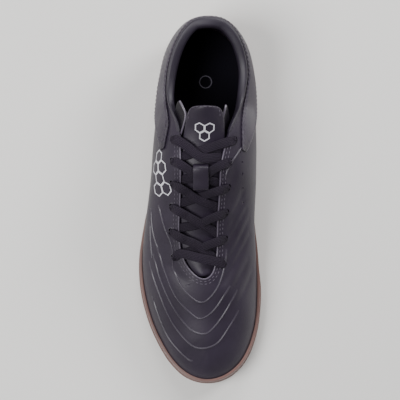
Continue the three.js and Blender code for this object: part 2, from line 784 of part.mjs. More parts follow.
const shoe = new THREE.Group();
shoe.add(outsole(), upper(), heelQuarter(), collarLining(), insole(), tongue(), laceKeeper(), laceBar());
for (let row = 0; row < eyelets.length - 1; row++) shoe.add(laceCross(row));

// The origin is under the middle of the shoe, on the ground.
const box = new THREE.Box3().setFromObject(shoe);
const middle = box.getCenter(new THREE.Vector3());
shoe.position.set(-middle.x, -middle.y, -box.min.z);

export default shoe;
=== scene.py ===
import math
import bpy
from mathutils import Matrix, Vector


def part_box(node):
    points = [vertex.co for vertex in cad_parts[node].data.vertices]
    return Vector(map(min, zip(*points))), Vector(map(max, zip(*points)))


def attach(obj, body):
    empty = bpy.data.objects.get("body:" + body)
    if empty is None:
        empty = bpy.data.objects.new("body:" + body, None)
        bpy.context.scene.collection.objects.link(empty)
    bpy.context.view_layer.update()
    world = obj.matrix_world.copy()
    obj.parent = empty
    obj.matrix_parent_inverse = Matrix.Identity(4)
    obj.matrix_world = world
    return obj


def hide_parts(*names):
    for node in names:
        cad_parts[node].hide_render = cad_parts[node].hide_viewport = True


bl_info = {
    "name": "Indoor Soccer Shoe",
    "version": (1, 0, 0),
    "blender": (4, 5, 0),
    "location": "3D View > Sidebar > Shoe",
    "description": "Builds a right indoor soccer shoe: lasted upper, padded collar, laces and gum cup sole",
    "category": "Object",
}

import bpy
import numpy as np
from mathutils import Vector
from mathutils.bvhtree import BVHTree

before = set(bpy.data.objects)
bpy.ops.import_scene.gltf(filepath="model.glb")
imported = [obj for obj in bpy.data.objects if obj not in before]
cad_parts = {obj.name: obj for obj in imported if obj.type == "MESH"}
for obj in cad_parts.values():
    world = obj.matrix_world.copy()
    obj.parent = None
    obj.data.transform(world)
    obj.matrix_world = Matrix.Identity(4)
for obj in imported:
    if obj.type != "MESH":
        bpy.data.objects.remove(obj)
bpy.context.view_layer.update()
MM = 0.001
CLEARANCE = 0.3 * MM

# The upper's ribs from heel to toe. at, top_at: shares of the length for the sole outline and for
# the top line above it. lateral, medial, middle, gap, swells and reach are shares of the ball
# width, up and fall shares of the instep height.
RIB_COLUMNS = ("at", "lateral", "medial", "top_at", "middle", "gap", "up",
               "swell_lateral", "swell_medial", "reach", "fall")
RIB_ROWS = (
    (0.0, 0.0, 0.0, 0.02, 0.014, 0.0, 0.886, 0.059, 0.059, 0.03, 0.2),
    (0.028, 0.194, 0.194, 0.03, 0.014, 0.129, 0.864, 0.07, 0.07, 0.035, 0.2),
    (0.094, 0.312, 0.312, 0.076, 0.014, 0.235, 0.814, 0.082, 0.082, 0.047, 0.186),
    (0.18, 0.365, 0.362, 0.15, 0.007, 0.296, 0.736, 0.082, 0.082, 0.065, 0.171),
    (0.272, 0.384, 0.362, 0.23, -0.012, 0.282, 0.75, 0.106, 0.129, 0.094, 0.171),
    (0.368, 0.405, 0.359, 0.302, -0.016, 0.201, 0.93, 0.129, 0.153, 0.188, 0.171),
    (0.464, 0.438, 0.359, 0.396, -0.045, 0.158, 0.98, 0.106, 0.165, 0.235, 0.143),
    (0.556, 0.5, 0.376, 0.484, -0.055, 0.152, 0.857, 0.094, 0.141, 0.212, 0.114),
    (0.644, 0.55, 0.412, 0.568, -0.068, 0.151, 0.77, 0.053, 0.112, 0.212, 0.086),
    (0.732, 0.546, 0.445, 0.644, -0.056, 0.145, 0.702, 0.029, 0.035, 0.235, 0.043),
    (0.816, 0.492, 0.437, 0.728, -0.012, 0.14, 0.634, 0.024, 0.024, 0.259, 0.0),
    (0.888, 0.405, 0.393, 0.8, 0.006, 0.14, 0.563, 0.024, 0.024, 0.235, 0.0),
    (0.948, 0.292, 0.305, 0.856, 0.008, 0.14, 0.52, 0.024, 0.024, 0.188, 0.0),
    (0.987, 0.155, 0.171, 0.89, 0.008, 0.14, 0.487, 0.024, 0.024, 0.153, 0.0),
    (1.0, -0.008, 0.008, 0.91, 0.008, 0.14, 0.464, 0.024, 0.024, 0.141, 0.0),
)

# The sole's side profile as shares of the heel stack.
SOLE_COLUMNS = ("at", "under", "bed", "rim")
SOLE_ROWS = (
    (0.0, 0.18, 1.0, 1.62),
    (0.05, 0.0, 1.0, 1.6),
    (0.25, 0.0, 0.97, 1.5),
    (0.33, 0.12, 0.94, 1.4),
    (0.42, 0.2, 0.86, 1.3),
    (0.52, 0.1, 0.74, 1.14),
    (0.6, 0.0, 0.64, 1.03),
    (0.7, 0.0, 0.58, 0.97),
    (0.8, 0.0, 0.6, 0.99),
    (0.87, 0.1, 0.68, 1.1),
    (0.94, 0.34, 0.92, 1.34),
    (1.0, 0.66, 1.2, 1.6),
)

# Free top of the tongue, from its edge down: half width in ball widths, height in instep heights.
TONGUE_TOP = ((0.252, 0.1, 1.2), (0.266, 0.135, 1.17), (0.29, 0.148, 1.11), (0.315, 0.155, 1.05))

# Rear quarter panel from the heel to its front tip: its lower and upper edges as shares of the
# height from the cup's rim to the top line.
PANEL_ROWS = (
    (0.0, 0.17, 0.93),
    (0.5, 0.19, 0.93),
    (0.72, 0.34, 0.92),
    (0.87, 0.55, 0.85),
    (1.0, 0.7, 0.76),
)

# Of the solids' ribs between the heel and the throat's round, how many the panel and the lining span.
REAR_RIBS = 23
PANEL_RIBS = 15
LINING_RIBS = 14

# V-shaped grooves of the tread: first, last, how many, width in ball widths.
TREADS = ((0.075, 0.235, 6, 0.5), (0.625, 0.79, 8, 0.66))

# Eyelets from the ankle to the toe, and how far each strand hangs towards the toe in lace widths.
EYELET_COLUMNS = ("lateral", "medial", "droop_lateral", "droop_medial")
EYELET_ROWS = (
    (0.334, 0.334, 0.8, 0.0),
    (0.392, 0.392, 0.5, 0.5),
    (0.452, 0.458, 0.25, 0.0),
    (0.51, 0.523, 0.0, 0.25),
    (0.568, 0.588, -0.3, 0.1),
    (0.627, 0.652, 0.0, 0.0),
)

# The photograph's camera looks straight down; pixels are read in its 400 by 400 frame.
PHOTO_SIZE = 400
CAMERA_HEIGHT = 900 * MM
FLOOR_VIEW = 280.1 * MM
PER_PIXEL = FLOOR_VIEW / PHOTO_SIZE
HEEL_TOE_PIXEL = 206.5
MIDDLE_ROW_PIXEL = 200
MIDDLE_ROW_AT = 123.4 * MM

# Raised lines on the vamp, in photograph pixels.
VAMP_LINES = (
    ((172.7, 270.5), (184, 290), (200.4, 302.5), (214, 293), (222.8, 274.8), (227, 249)),
    ((157.7, 249.2), (165.2, 272.7), (176, 297), (191.9, 314.3), (201.5, 318.5), (215, 309),
     (230.3, 285.5)),
    ((153, 254), (160.5, 280), (173, 307), (189, 328), (201.5, 334), (211, 330.3), (223.9, 314.3),
     (237.7, 289.7)),
    ((149.2, 260.9), (154.5, 281.2), (170.5, 319.6), (188.7, 343), (202.5, 348.4), (217.5, 343),
     (229.2, 327), (238.8, 310)),
    ((152, 296), (160, 320), (170.5, 341), (187.6, 359), (193, 360.7)),
)
QUARTER_LINES = (
    ((151, 208), (152.4, 230), (157.7, 249.2)),
    ((158.4, 205), (164, 226), (172.3, 248), (172.7, 270.5)),
    ((150, 222), (150.5, 240), (152, 258)),
    ((243, 146), (238, 153), (231, 164), (224.5, 178)),
)

# Soft flutes of the medial side and flex creases: width and height in millimetres, then the line
# in photograph pixels. A negative height is a trough.
RELIEF_LINES = (
    (3.2, -0.5, ((229, 222), (239, 203), (244, 188))),
    (3.2, -0.5, ((226, 238), (236, 218), (246, 196))),
    (3.2, -0.55, ((223, 254), (235, 232), (248, 206))),
    (3.2, -0.55, ((226, 266), (238, 244), (250, 218))),
    (3.4, -0.55, ((222, 287), (232, 269), (242, 251), (251, 232))),
    (3.4, -0.5, ((226, 301), (238, 281), (250, 257))),
    (3.4, -0.45, ((236, 307), (246, 288), (254, 268))),
    (5.0, -0.4, ((237, 160), (233, 176), (229, 190))),
    (6.0, -0.5, ((168, 262), (178, 276), (190, 284))),
    (6.0, -0.35, ((214, 287), (224, 277), (231, 262))),
    (5.0, 0.4, ((166, 110), (162, 122), (160, 136))),
    (5.0, 0.4, ((239, 118), (236, 128), (235, 138))),
    (4.0, -0.45, ((170, 120), (166, 130), (160, 142))),
)

# Punched pinholes of the medial side, in photograph pixels.
PINHOLES = ((240.3, 152), (242.3, 162), (242.8, 174), (243.2, 188), (243.6, 203))


def size(name, description, millimetres):
    return bpy.props.FloatProperty(
        name=name, description=description, default=millimetres * MM, unit="LENGTH")


class ShoeSizes(bpy.types.PropertyGroup):
    length: size("Length", "Outsole, heel to toe", 250)
    ball_width: size("Ball width", "Outsole at the ball", 85)
    instep_height: size("Instep height", "Top of the lacing above the ground", 70)
    heel_stack: size("Heel stack", "Footbed above the ground at the heel", 13)
    upper_wall: size("Upper wall", "Thickness of the upper", 1.8)
    throat_end: size("Throat end", "Toe end of the throat, from the heel", 176)
    lace_width: size("Lace width", "Width of the flat lace", 6.2)
    lace_thick: size("Lace thickness", "Thickness of the flat lace", 1.2)


def colour(name, description, default):
    return bpy.props.FloatVectorProperty(
        name=name, description=description, default=default, size=3, subtype="COLOR", min=0, max=1)


class ShoeColours(bpy.types.PropertyGroup):
    upper: colour("Upper", "Synthetic leather of the upper and tongue", (0.021, 0.015, 0.027))
    # Panel: lighter than the upper, partly the panel's own tone and partly painted highlight on its ribs.
    panel: colour("Panel", "Ribbed panel round the heel", (0.042, 0.031, 0.052))
    # Lining: lighter than the upper, partly the lining's own tone and partly painted highlight on the
    # collar's rolled rim.
    lining: colour("Lining", "Collar lining", (0.030, 0.023, 0.039))
    # Line: the lighter colour of the raised lines is painted highlight along their ridges, not rubbing.
    line: colour("Line", "Raised lines of the vamp, rubbed a little lighter", (0.034, 0.027, 0.041))
    # Wing: a darker copy of the tongue's synthetic, painted shade on the wings that stand beside the
    # tongue.
    wing: colour("Wing", "Thin wings of the tongue", (0.007, 0.005, 0.009))
    # Bead: the turned edges are coloured far lighter than the upper as painted highlight along their rolls.
    bead: colour("Bead", "Turned edges of the throat and the tongue's wings", (0.085, 0.070, 0.098))
    # Insole: darkened further than the knit's own colour, as painted shade deep inside the shoe.
    insole: colour("Insole", "Knit of the insole", (0.007, 0.006, 0.011))
    lace: colour("Lace", "Woven lace", (0.013, 0.0085, 0.017))
    thread: colour("Thread", "Stitches", (0.075, 0.062, 0.085))
    gum: colour("Gum rubber", "Cup sole", (0.150, 0.082, 0.072))
    print: colour("Print", "Plain printed outlines", (0.62, 0.61, 0.66))
    ring: colour("Ring", "Plain ring printed on the insole", (0.10, 0.09, 0.12))


class Last:
    """The shoe's form: the same ribs, sole profile and lacing as the solids, in metres."""

    closing_length = 74 * MM
    throat_round = 24 * MM
    rim_wall = 3 * MM
    rim_lip = 1.6 * MM
    eyelet_inset = 6.5 * MM

    def __init__(self, sizes):
        self.length, self.ball = sizes.length, sizes.ball_width
        self.instep, self.stack = sizes.instep_height, sizes.heel_stack
        self.wall, self.throat_end = sizes.upper_wall, sizes.throat_end
        rows = dict(zip(RIB_COLUMNS, np.array(RIB_ROWS).T))
        self.toe = len(RIB_ROWS) - 1
        self.loop = 2 * self.toe

        def ring(lateral, medial):
            return np.concatenate([lateral, medial[-2:0:-1]])

        even = ("at", "top_at", "middle", "up", "reach", "fall")
        self.columns = {
            **{name: ring(rows[name], rows[name]) for name in even},
            "side": ring(-rows["lateral"], rows["medial"]),
            "gap": ring(-rows["gap"], rows["gap"]),
            "swell": ring(rows["swell_lateral"], rows["swell_medial"]),
        }
        self.sole = dict(zip(SOLE_COLUMNS, np.array(SOLE_ROWS).T))
        self.shift = np.zeros(3)
        edge = self.outline(np.linspace(0, self.loop, 2801))
        low, high = (np.array(corner[:2]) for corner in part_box("outsole"))
        self.shift[:2] = (low + high) / 2 - (edge.min(0) + edge.max(0))[:2] / 2
        self.top_ribs = np.linspace(0, self.toe, 2801)
        self.top_distances = self.around("top_at", self.top_ribs) * self.length

    def around(self, name, q):
        """Value of a column round the shoe: heel, lateral side, toe, medial side."""
        values = self.columns[name]
        base = np.floor(q).astype(int)
        t = q - base
        a, b, c, d = (values[(base + step) % self.loop] for step in (-1, 0, 1, 2))
        drift, following = (c - a) / 2, (d - b) / 2
        rest = c - b - drift
        turn = following - drift
        return b + t * (drift + t * (3 * rest - turn + t * (turn - 2 * rest)))

    def sole_height(self, name, at):
        """A sole level at shares of the length, without overshoot between its rows."""
        x, y = self.sole["at"], self.sole[name]
        slopes = np.diff(y) / np.diff(x)
        tangents = np.zeros_like(y)
        tangents[0], tangents[-1] = slopes[0], slopes[-1]
        before, after = slopes[:-1], slopes[1:]
        safe = np.where(before + after == 0, 1, before + after)
        tangents[1:-1] = np.where(before * after <= 0, 0, 2 * before * after / safe)
        place = np.clip(at, x[0], x[-1])
        i = np.clip(np.searchsorted(x, place) - 1, 0, len(x) - 2)
        width = x[i + 1] - x[i]
        t = (place - x[i]) / width
        h = t * t * (3 - 2 * t)
        bend = tangents[i] * width * t * (1 - t) ** 2 - tangents[i + 1] * width * t * t * (1 - t)
        return self.stack * (y[i] * (1 - h) + y[i + 1] * h + bend)

    def place(self, at, side, up):
        point = np.stack(np.broadcast_arrays(side, (0.5 - at) * self.length, up), -1)
        return point + self.shift

    def share_of(self, point):
        return 0.5 - (point[..., 1] - self.shift[1]) / self.length

    def outline(self, q):
        return self.place(self.around("at", q), self.ball * self.around("side", q), 0.0)

    def outward(self, q):
        along = self.outline(q + 0.01) - self.outline(q - 0.01)
        out = np.stack([along[..., 1], -along[..., 0], np.zeros_like(q)], -1)
        return out / np.linalg.norm(out, axis=-1, keepdims=True)

    def closing(self, distance):
        t = np.clip((distance - self.throat_end + self.closing_length) / self.closing_length, 0, 1)
        return t * t * (3 - 2 * t)

    def rib_at_top(self, distance):
        return np.interp(distance, self.top_distances, self.top_ribs)

    def ridge_slope(self, q):
        r = np.minimum(np.minimum(q, self.loop - q), self.toe - 0.15)
        step = 0.01
        rise = self.instep * (self.around("up", r + step) - self.around("up", r - step))
        run = self.length * (self.around("top_at", r - step) - self.around("top_at", r + step))
        distance = self.around("top_at", r) * self.length
        return rise / np.where(run == 0, 1, run) * self.closing(distance)

    def ribs(self, q):
        """Four control points of each rib's cubic curve, from the footbed to its crest."""
        out = self.outward(q)
        foot = self.outline(q) - out * (self.rim_wall + CLEARANCE)
        foot[..., 2] = self.sole_height("bed", self.share_of(foot)) + CLEARANCE
        at = self.around("top_at", q)
        gap = self.around("gap", q) * (1 - self.closing(at * self.length))
        crest = self.place(at, self.ball * (self.around("middle", q) + gap),
                           self.instep * self.around("up", q))
        low = foot + out * (self.ball * self.around("swell", q))[..., None]
        low[..., 2] += 0.35 * (crest[..., 2] - foot[..., 2])
        reach = self.ball * self.around("reach", q)
        high = crest + out * reach[..., None]
        high[..., 2] += out[..., 1] * reach * self.ridge_slope(q) - self.instep * self.around("fall", q)
        return foot, low, high, crest

    @staticmethod
    def curve(ribs, t):
        a, b, c, d = ribs
        t = t[..., None]
        return a * (1 - t) ** 3 + 3 * b * t * (1 - t) ** 2 + 3 * c * t * t * (1 - t) + d * t ** 3

    def beside_throat(self, point):
        distance = self.share_of(point) * self.length
        r = self.rib_at_top(distance)
        t = np.clip((distance - self.throat_end) / self.throat_round + 1, 0, 1)
        half = np.abs(self.around("gap", r)) * np.sqrt(1 - t * t)
        side = point[..., 0] - self.shift[0] - self.ball * self.around("middle", r)
        return np.abs(side) > self.ball * half

    @staticmethod
    def solve(low, high, too_low):
        for _ in range(32):
            half = (low + high) / 2
            under = too_low(half)
            low, high = np.where(under, half, low), np.where(under, high, half)
        return (low + high) / 2

    def edge_share(self, q, ribs):
        """Share of each rib at which it meets the collar's or throat's edge."""
        distance = self.around("top_at", q) * self.length
        held = (distance < self.throat_end - self.closing_length) | (distance >= self.throat_end)
        cut = self.solve(np.full(q.shape, 0.3), np.ones(q.shape),
                         lambda t: self.beside_throat(self.curve(ribs, t)))
        return np.where(held, 1.0, cut)

    def rim_share(self, q, ribs):
        rim = self.sole_height("rim", self.share_of(self.outline(q)))
        return self.solve(np.zeros(q.shape), np.full(q.shape, 0.5),
                          lambda t: self.curve(ribs, t)[..., 2] < rim)

    def skin(self, q, w):
        """Points of the upper: w is -1 at the footbed, 0 at the cup's rim and 1 at the top edge."""
        q = np.asarray(q, float)
        ribs = self.ribs(q)
        rim, edge = self.rim_share(q, ribs), self.edge_share(q, ribs)
        w = np.asarray(w, float)
        t = np.where(w < 0, rim * (1 + w), rim + (edge - rim) * w)
        return self.curve(ribs, t)

    def normal(self, q, w):
        q, w = np.asarray(q, float), np.asarray(w, float)
        along = self.skin(q + 0.02, w) - self.skin(q - 0.02, w)
        up = self.skin(q, np.minimum(w + 0.01, 1)) - self.skin(q, w - 0.01)
        normal = np.cross(along, up)
        return normal / np.maximum(np.linalg.norm(normal, axis=-1, keepdims=True), 1e-12)

    def side_rib(self, r, sign):
        return r if sign < 0 else self.loop - r

    def eyelet(self, row, sign):
        """Centre, throat edge and outward direction of an eyelet; sign is -1 lateral, 1 medial."""
        at = dict(zip(EYELET_COLUMNS, EYELET_ROWS[row]))["lateral" if sign < 0 else "medial"]
        q = np.array([self.side_rib(self.rib_at_top(at * self.length), sign)])
        edge = self.skin(q, np.array([1.0]))[0]

        def too_low(t):
            return np.linalg.norm(self.skin(q, np.array([t]))[0] - edge) > self.eyelet_inset

        w = np.array([self.solve(0.3, 1.0, too_low)])
        return self.skin(q, w)[0], edge, self.normal(q, w)[0]

    def rear_reach(self, ribs):
        """Rib at which a piece round the heel ends that spans so many of the solids' rear ribs."""
        return self.rib_at_top(self.throat_end - self.throat_round) * ribs / REAR_RIBS


def active():
    return bpy.context.view_layer.objects.active


def pick(*pieces):
    bpy.ops.object.select_all(action="DESELECT")
    for piece in pieces:
        piece.select_set(True)
    bpy.context.view_layer.objects.active = pieces[0]


def soft_step(t):
    return t * t * (3 - 2 * t)


def sheet_mesh(name, grid, closed=False):
    """A primitive grid laid on rows of points; closed joins its last row to its first."""
    grid = np.asarray(grid)
    if closed:
        grid = np.concatenate([grid, grid[:1]])
    rows, columns = grid.shape[:2]
    bpy.ops.object.select_all(action="DESELECT")
    bpy.ops.mesh.primitive_grid_add(x_subdivisions=columns - 1, y_subdivisions=rows - 1, size=1)
    piece = active()
    piece.name = piece.data.name = name
    piece.data.vertices.foreach_set("co", grid.reshape(-1))
    piece.data.update()
    return piece


def lay_uv(piece, uv):
    """Give the piece's UV map lengths in metres, a pair for each point of its grid."""
    corner = np.empty(len(piece.data.loops), int)
    piece.data.loops.foreach_get("vertex_index", corner)
    piece.data.uv_layers[0].data.foreach_set("uv", np.asarray(uv).reshape(-1, 2)[corner].ravel())


def lengths_along(points, axis):
    """Distance run along a grid's rows or columns."""
    steps = np.linalg.norm(np.diff(points, axis=axis), axis=-1)
    start = np.zeros_like(np.take(steps, [0], axis))
    return np.concatenate([start, np.cumsum(steps, axis)], axis)


def weld(piece, distance=0.01 * MM):
    pick(piece)
    bpy.ops.object.mode_set(mode="EDIT")
    bpy.ops.mesh.select_all(action="SELECT")
    bpy.ops.mesh.remove_doubles(threshold=distance)
    bpy.ops.mesh.dissolve_degenerate(threshold=distance / 10)
    bpy.ops.mesh.select_all(action="SELECT")
    bpy.ops.mesh.normals_make_consistent(inside=False)
    bpy.ops.object.mode_set(mode="OBJECT")


def modify(piece, kind, **values):
    modifier = piece.modifiers.new(kind.title(), kind)
    for key, value in values.items():
        setattr(modifier, key, value)
    pick(piece)
    bpy.ops.object.modifier_apply(modifier=modifier.name)


def round_edges(piece, width, degrees, segments=3):
    modify(piece, "BEVEL", width=width, segments=segments, limit_method="ANGLE",
           angle_limit=math.radians(degrees))


def smooth(piece, degrees=50):
    pick(piece)
    bpy.ops.object.shade_smooth_by_angle(angle=math.radians(degrees))


def finish_piece(piece, material, slot, *nodes):
    piece.data.materials.clear()
    piece.data.materials.append(material)
    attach(piece, "root")
    if nodes:
        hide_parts(*nodes)
    return piece


def smooth_path(knots, spacing):
    """Evenly spaced points on a smooth curve through knots."""
    knots = np.asarray(knots, float)
    ends = np.vstack([2 * knots[0] - knots[1], knots, 2 * knots[-1] - knots[-2]])
    t = np.linspace(0, 1, 24, endpoint=False)[:, None]
    pieces = []
    for a, b, c, d in zip(ends, ends[1:], ends[2:], ends[3:]):
        drift, following = (c - a) / 2, (d - b) / 2
        rest = c - b - drift
        turn = following - drift
        pieces.append(b + t * (drift + t * (3 * rest - turn + t * (turn - 2 * rest))))
    dense = np.vstack([*pieces, knots[-1:]])
    lengths = np.concatenate([[0], np.cumsum(np.linalg.norm(np.diff(dense, axis=0), axis=1))])
    count = max(2, int(round(lengths[-1] / spacing)) + 1)
    even = np.linspace(0, lengths[-1], count)
    return np.stack([np.interp(even, lengths, dense[:, k]) for k in range(dense.shape[1])], -1)


def unit(vectors):
    return vectors / np.linalg.norm(vectors, axis=-1, keepdims=True)


def sweep(points, ups, profile):
    """Rows of a profile (across, up) carried along points that have directions up."""
    points, ups = np.asarray(points), unit(np.asarray(ups))
    ahead = unit(np.gradient(points, axis=0))
    across = unit(np.cross(ups, ahead))
    ups = np.cross(ahead, across)
    profile = np.asarray(profile)
    if profile.ndim == 2:
        profile = np.repeat(profile[None], len(points), 0)
    return points[:, None] + across[:, None] * profile[..., :1] + ups[:, None] * profile[..., 1:]


def capped(rows):
    """Rows of a closed ring of points with both ends drawn together."""
    rows = np.asarray(rows)
    rows = np.concatenate([rows, rows[:, :1]], 1)
    ends = [np.repeat(row.mean(0, keepdims=True), rows.shape[1], 0) for row in (rows[0], rows[-1])]
    return np.concatenate([ends[0][None], rows, ends[1][None]])


def tree_of(piece):
    piece.data.calc_loop_triangles()
    return BVHTree.FromPolygons(
        [v.co[:] for v in piece.data.vertices], [t.vertices[:] for t in piece.data.loop_triangles])


def facing_up(normal):
    return np.array(normal) * (1 if normal[2] > 0 else -1)


def drop(tree, point):
    """Place and direction of the surface straight under a point."""
    hit, normal, _, _ = tree.ray_cast(Vector((point[0], point[1], 1.0)), Vector((0, 0, -1)))
    if hit is None:
        hit, normal, _, _ = tree.find_nearest(Vector(point))
    return np.array(hit), facing_up(normal)


def thread_row(name, points, normals, length=2.0 * MM, gap=1.0 * MM, width=0.62 * MM):
    """A row of stitches on a surface: one short thread, copied along the points."""
    run = lengths_along(points, 0)
    places = np.arange(length / 2, run[-1] - length / 2, length + gap)
    at = np.stack([np.interp(places, run, points[:, k]) for k in range(3)], -1)
    ahead = unit(np.stack([np.interp(places, run, np.gradient(points[:, k])) for k in range(3)], -1))
    ups = unit(np.stack([np.interp(places, run, normals[:, k]) for k in range(3)], -1))
    across = unit(np.cross(ups, ahead))
    ups = np.cross(ahead, across)
    bpy.ops.object.select_all(action="DESELECT")
    bpy.ops.mesh.primitive_uv_sphere_add(segments=6, ring_count=5, radius=1)
    one = active()
    form = np.array([v.co[:] for v in one.data.vertices]) * (width / 2, width / 2, length / 2)
    faces = [list(p.vertices) for p in one.data.polygons]
    bpy.data.objects.remove(one)
    spots = (at[:, None] + across[:, None] * form[None, :, :1] + ups[:, None] * form[None, :, 1:2]
             + ahead[:, None] * form[None, :, 2:])
    mesh = bpy.data.meshes.new(name)
    every = [[v + i * len(form) for v in face] for i in range(len(at)) for face in faces]
    mesh.from_pydata(spots.reshape(-1, 3).tolist(), [], every)
    piece = bpy.data.objects.new(name, mesh)
    bpy.context.collection.objects.link(piece)
    weld(piece)
    smooth(piece, 80)
    return piece


def join(name, pieces):
    pick(*pieces)
    bpy.ops.object.join()
    piece = active()
    piece.name = piece.data.name = name
    return piece


def outline_ribbon(name, corners, tree, width, rise):
    """Closed printed line through corners laid on a surface, with mitred corners."""
    corners = np.asarray(corners)
    points = np.concatenate([
        a + (b - a) * np.linspace(0, 1, 8, endpoint=False)[:, None]
        for a, b in zip(corners, np.roll(corners, -1, axis=0))])
    touched = [tree.find_nearest(Vector(point)) for point in points]
    points = np.array([hit[0] for hit in touched])
    ups = np.array([facing_up(hit[1]) for hit in touched])
    before, after = unit(points - np.roll(points, 1, 0)), unit(np.roll(points, -1, 0) - points)
    ahead = unit(before + after)
    stretch = 1 / np.maximum(0.5, (ahead * before).sum(-1))
    across = unit(np.cross(ups, ahead)) * stretch[:, None] * width / 2
    points = points + ups * rise
    low = points - ups * 2 * rise
    rows = np.stack([points - across, points + across, low + across, low - across, points - across], 1)
    piece = sheet_mesh(name, rows, closed=True)
    weld(piece, 0.001 * MM)
    return piece


class Photo:
    """Sends photograph pixels down the camera's rays onto the shoe."""

    def __init__(self, last):
        self.last = last
        q = loop_stations(last, count=120, round_count=30)
        w = np.concatenate([np.linspace(-1, 0, 4, endpoint=False), np.linspace(0, 1, 40)])
        grid = last.skin(q[:, None], w[None])
        rows, columns = grid.shape[:2]
        corner = np.arange(rows * columns).reshape(rows, columns)
        after = np.roll(corner, -1, axis=0)
        quads = np.stack([corner[:, :-1], after[:, :-1], after[:, 1:], corner[:, 1:]], -1).reshape(-1, 4)
        self.tree = BVHTree.FromPolygons(grid.reshape(-1, 3).tolist(), quads.tolist())
        self.eye = self.floor_point(PHOTO_SIZE / 2, PHOTO_SIZE / 2)
        self.eye[2] = CAMERA_HEIGHT

    def floor_point(self, x, y):
        side = (x - HEEL_TOE_PIXEL) * PER_PIXEL
        at = (MIDDLE_ROW_AT + (y - MIDDLE_ROW_PIXEL) * PER_PIXEL) / self.last.length
        return self.last.place(at, side, 0.0)

    def touch(self, x, y, tree=None):
        ray = self.floor_point(x, y) - self.eye
        hit, normal, _, _ = (tree or self.tree).ray_cast(Vector(self.eye), Vector(ray))
        if hit is None:
            raise RuntimeError(f"no surface under pixel {x:.1f}, {y:.1f}")
        return np.array(hit), facing_up(normal)

    def at_height(self, x, y, height):
        floor = self.floor_point(x, y)
        return self.eye + (floor - self.eye) * (1 - height / CAMERA_HEIGHT)

    def path(self, knots, spacing=1.0 * MM, tree=None):
        touched = [self.touch(x, y, tree) for x, y in smooth_path(knots, spacing / PER_PIXEL)]
        return (np.array(column) for column in zip(*touched))


class Relief:
    """Soft troughs and ridges of the upper."""

    def __init__(self, photo):
        self.lines = [(width * MM, height * MM, list(photo.path(knots, 1.5 * MM))[0])
                      for width, height, knots in RELIEF_LINES]

    def lift(self, points):
        total = np.zeros(points.shape[:-1])
        flat, result = points.reshape(-1, 3), total.reshape(-1)
        for width, height, line in self.lines:
            inside = (flat > line.min(0) - 2 * width) & (flat < line.max(0) + 2 * width)
            near = np.nonzero(np.all(inside, 1))[0]
            distance = np.linalg.norm(flat[near, None] - line[None], axis=-1)
            place = distance.argmin(1) / (len(line) - 1)
            fade = np.sin(np.pi * np.clip(place, 0.0, 1.0)) ** 0.5
            result[near] += height * fade * np.exp(-(distance.min(1) / width) ** 2 * 2)
        return total


def shared_group(name, outputs, inputs=()):
    """Makes a node group on first use; the function gives its outputs from its entry's sockets."""
    def wrap(build):
        def get():
            if name not in bpy.data.node_groups:
                group = bpy.data.node_groups.new(name, "ShaderNodeTree")
                sockets = group.interface
                sockets.new_socket(name="Vector", in_out="INPUT", socket_type="NodeSocketVector")
                for label, default in inputs:
                    made = sockets.new_socket(name=label, in_out="INPUT", socket_type="NodeSocketFloat")
                    made.default_value = default
                for label in outputs:
                    sockets.new_socket(name=label, in_out="OUTPUT", socket_type="NodeSocketFloat")
                entry = group.nodes.new("NodeGroupInput")
                exit_ = group.nodes.new("NodeGroupOutput")
                for label, socket in zip(outputs, build(group, entry.outputs)):
                    group.links.new(socket, exit_.inputs[label])
            return bpy.data.node_groups[name]
        return get
    return wrap


def node(tree, kind, links=None, **values):
    """A node with its settings, its sockets' values and its links from other sockets."""
    made = tree.nodes.new(kind)
    for key, value in values.items():
        setattr(made, key, value)
    for socket, value in (links or {}).items():
        if isinstance(value, bpy.types.NodeSocket):
            tree.links.new(value, made.inputs[socket])
        else:
            made.inputs[socket].default_value = value
    return made


@shared_group("Shoe Grain", ("Height", "Tone"), (("Pebble Scale", 900.0), ("Tone Scale", 28.0)))
def grain_group(group, entry):
    """Pebbled synthetic grain with slow changes of tone, on Object coordinates."""
    where = entry["Vector"]
    cells = node(group, "ShaderNodeTexVoronoi", {"Vector": where, "Scale": entry["Pebble Scale"]},
                 feature="SMOOTH_F1")
    fine = node(group, "ShaderNodeTexNoise", {"Vector": where, "Scale": 2600.0, "Detail": 3.0})
    height = node(group, "ShaderNodeMath", {0: cells.outputs["Distance"], 1: fine.outputs["Fac"]},
                  operation="ADD")
    tone = node(group, "ShaderNodeTexNoise",
                {"Vector": where, "Scale": entry["Tone Scale"], "Detail": 4.0, "Roughness": 0.6})
    return height.outputs[0], tone.outputs["Fac"]


def wave(tree, links, amplitude=0.5):
    """Sine of the sum of scaled sockets, from 0 to 1; links pairs each socket with its pitch."""
    total = None
    for socket, pitch in links:
        turned = node(tree, "ShaderNodeMath", {0: socket, 1: 2 * math.pi / pitch}, operation="MULTIPLY")
        if total is None:
            total = turned.outputs[0]
        else:
            total = node(tree, "ShaderNodeMath", {0: total, 1: turned.outputs[0]},
                         operation="ADD").outputs[0]
    sine = node(tree, "ShaderNodeMath", {0: total}, operation="SINE")
    return node(tree, "ShaderNodeMath", {0: sine.outputs[0], 1: amplitude, 2: amplitude},
                operation="MULTIPLY_ADD").outputs[0]


@shared_group("Shoe Ribs", ("Height",))
def ribs_group(group, entry):
    """Fine slanted ribs on a UV map in metres."""
    parts = node(group, "ShaderNodeSeparateXYZ", {0: entry["Vector"]})
    side = node(group, "ShaderNodeMath", {0: parts.outputs["X"]}, operation="ABSOLUTE")
    return wave(group, ((side.outputs[0], 3.2 * MM), (parts.outputs["Y"], 1.9 * MM))),


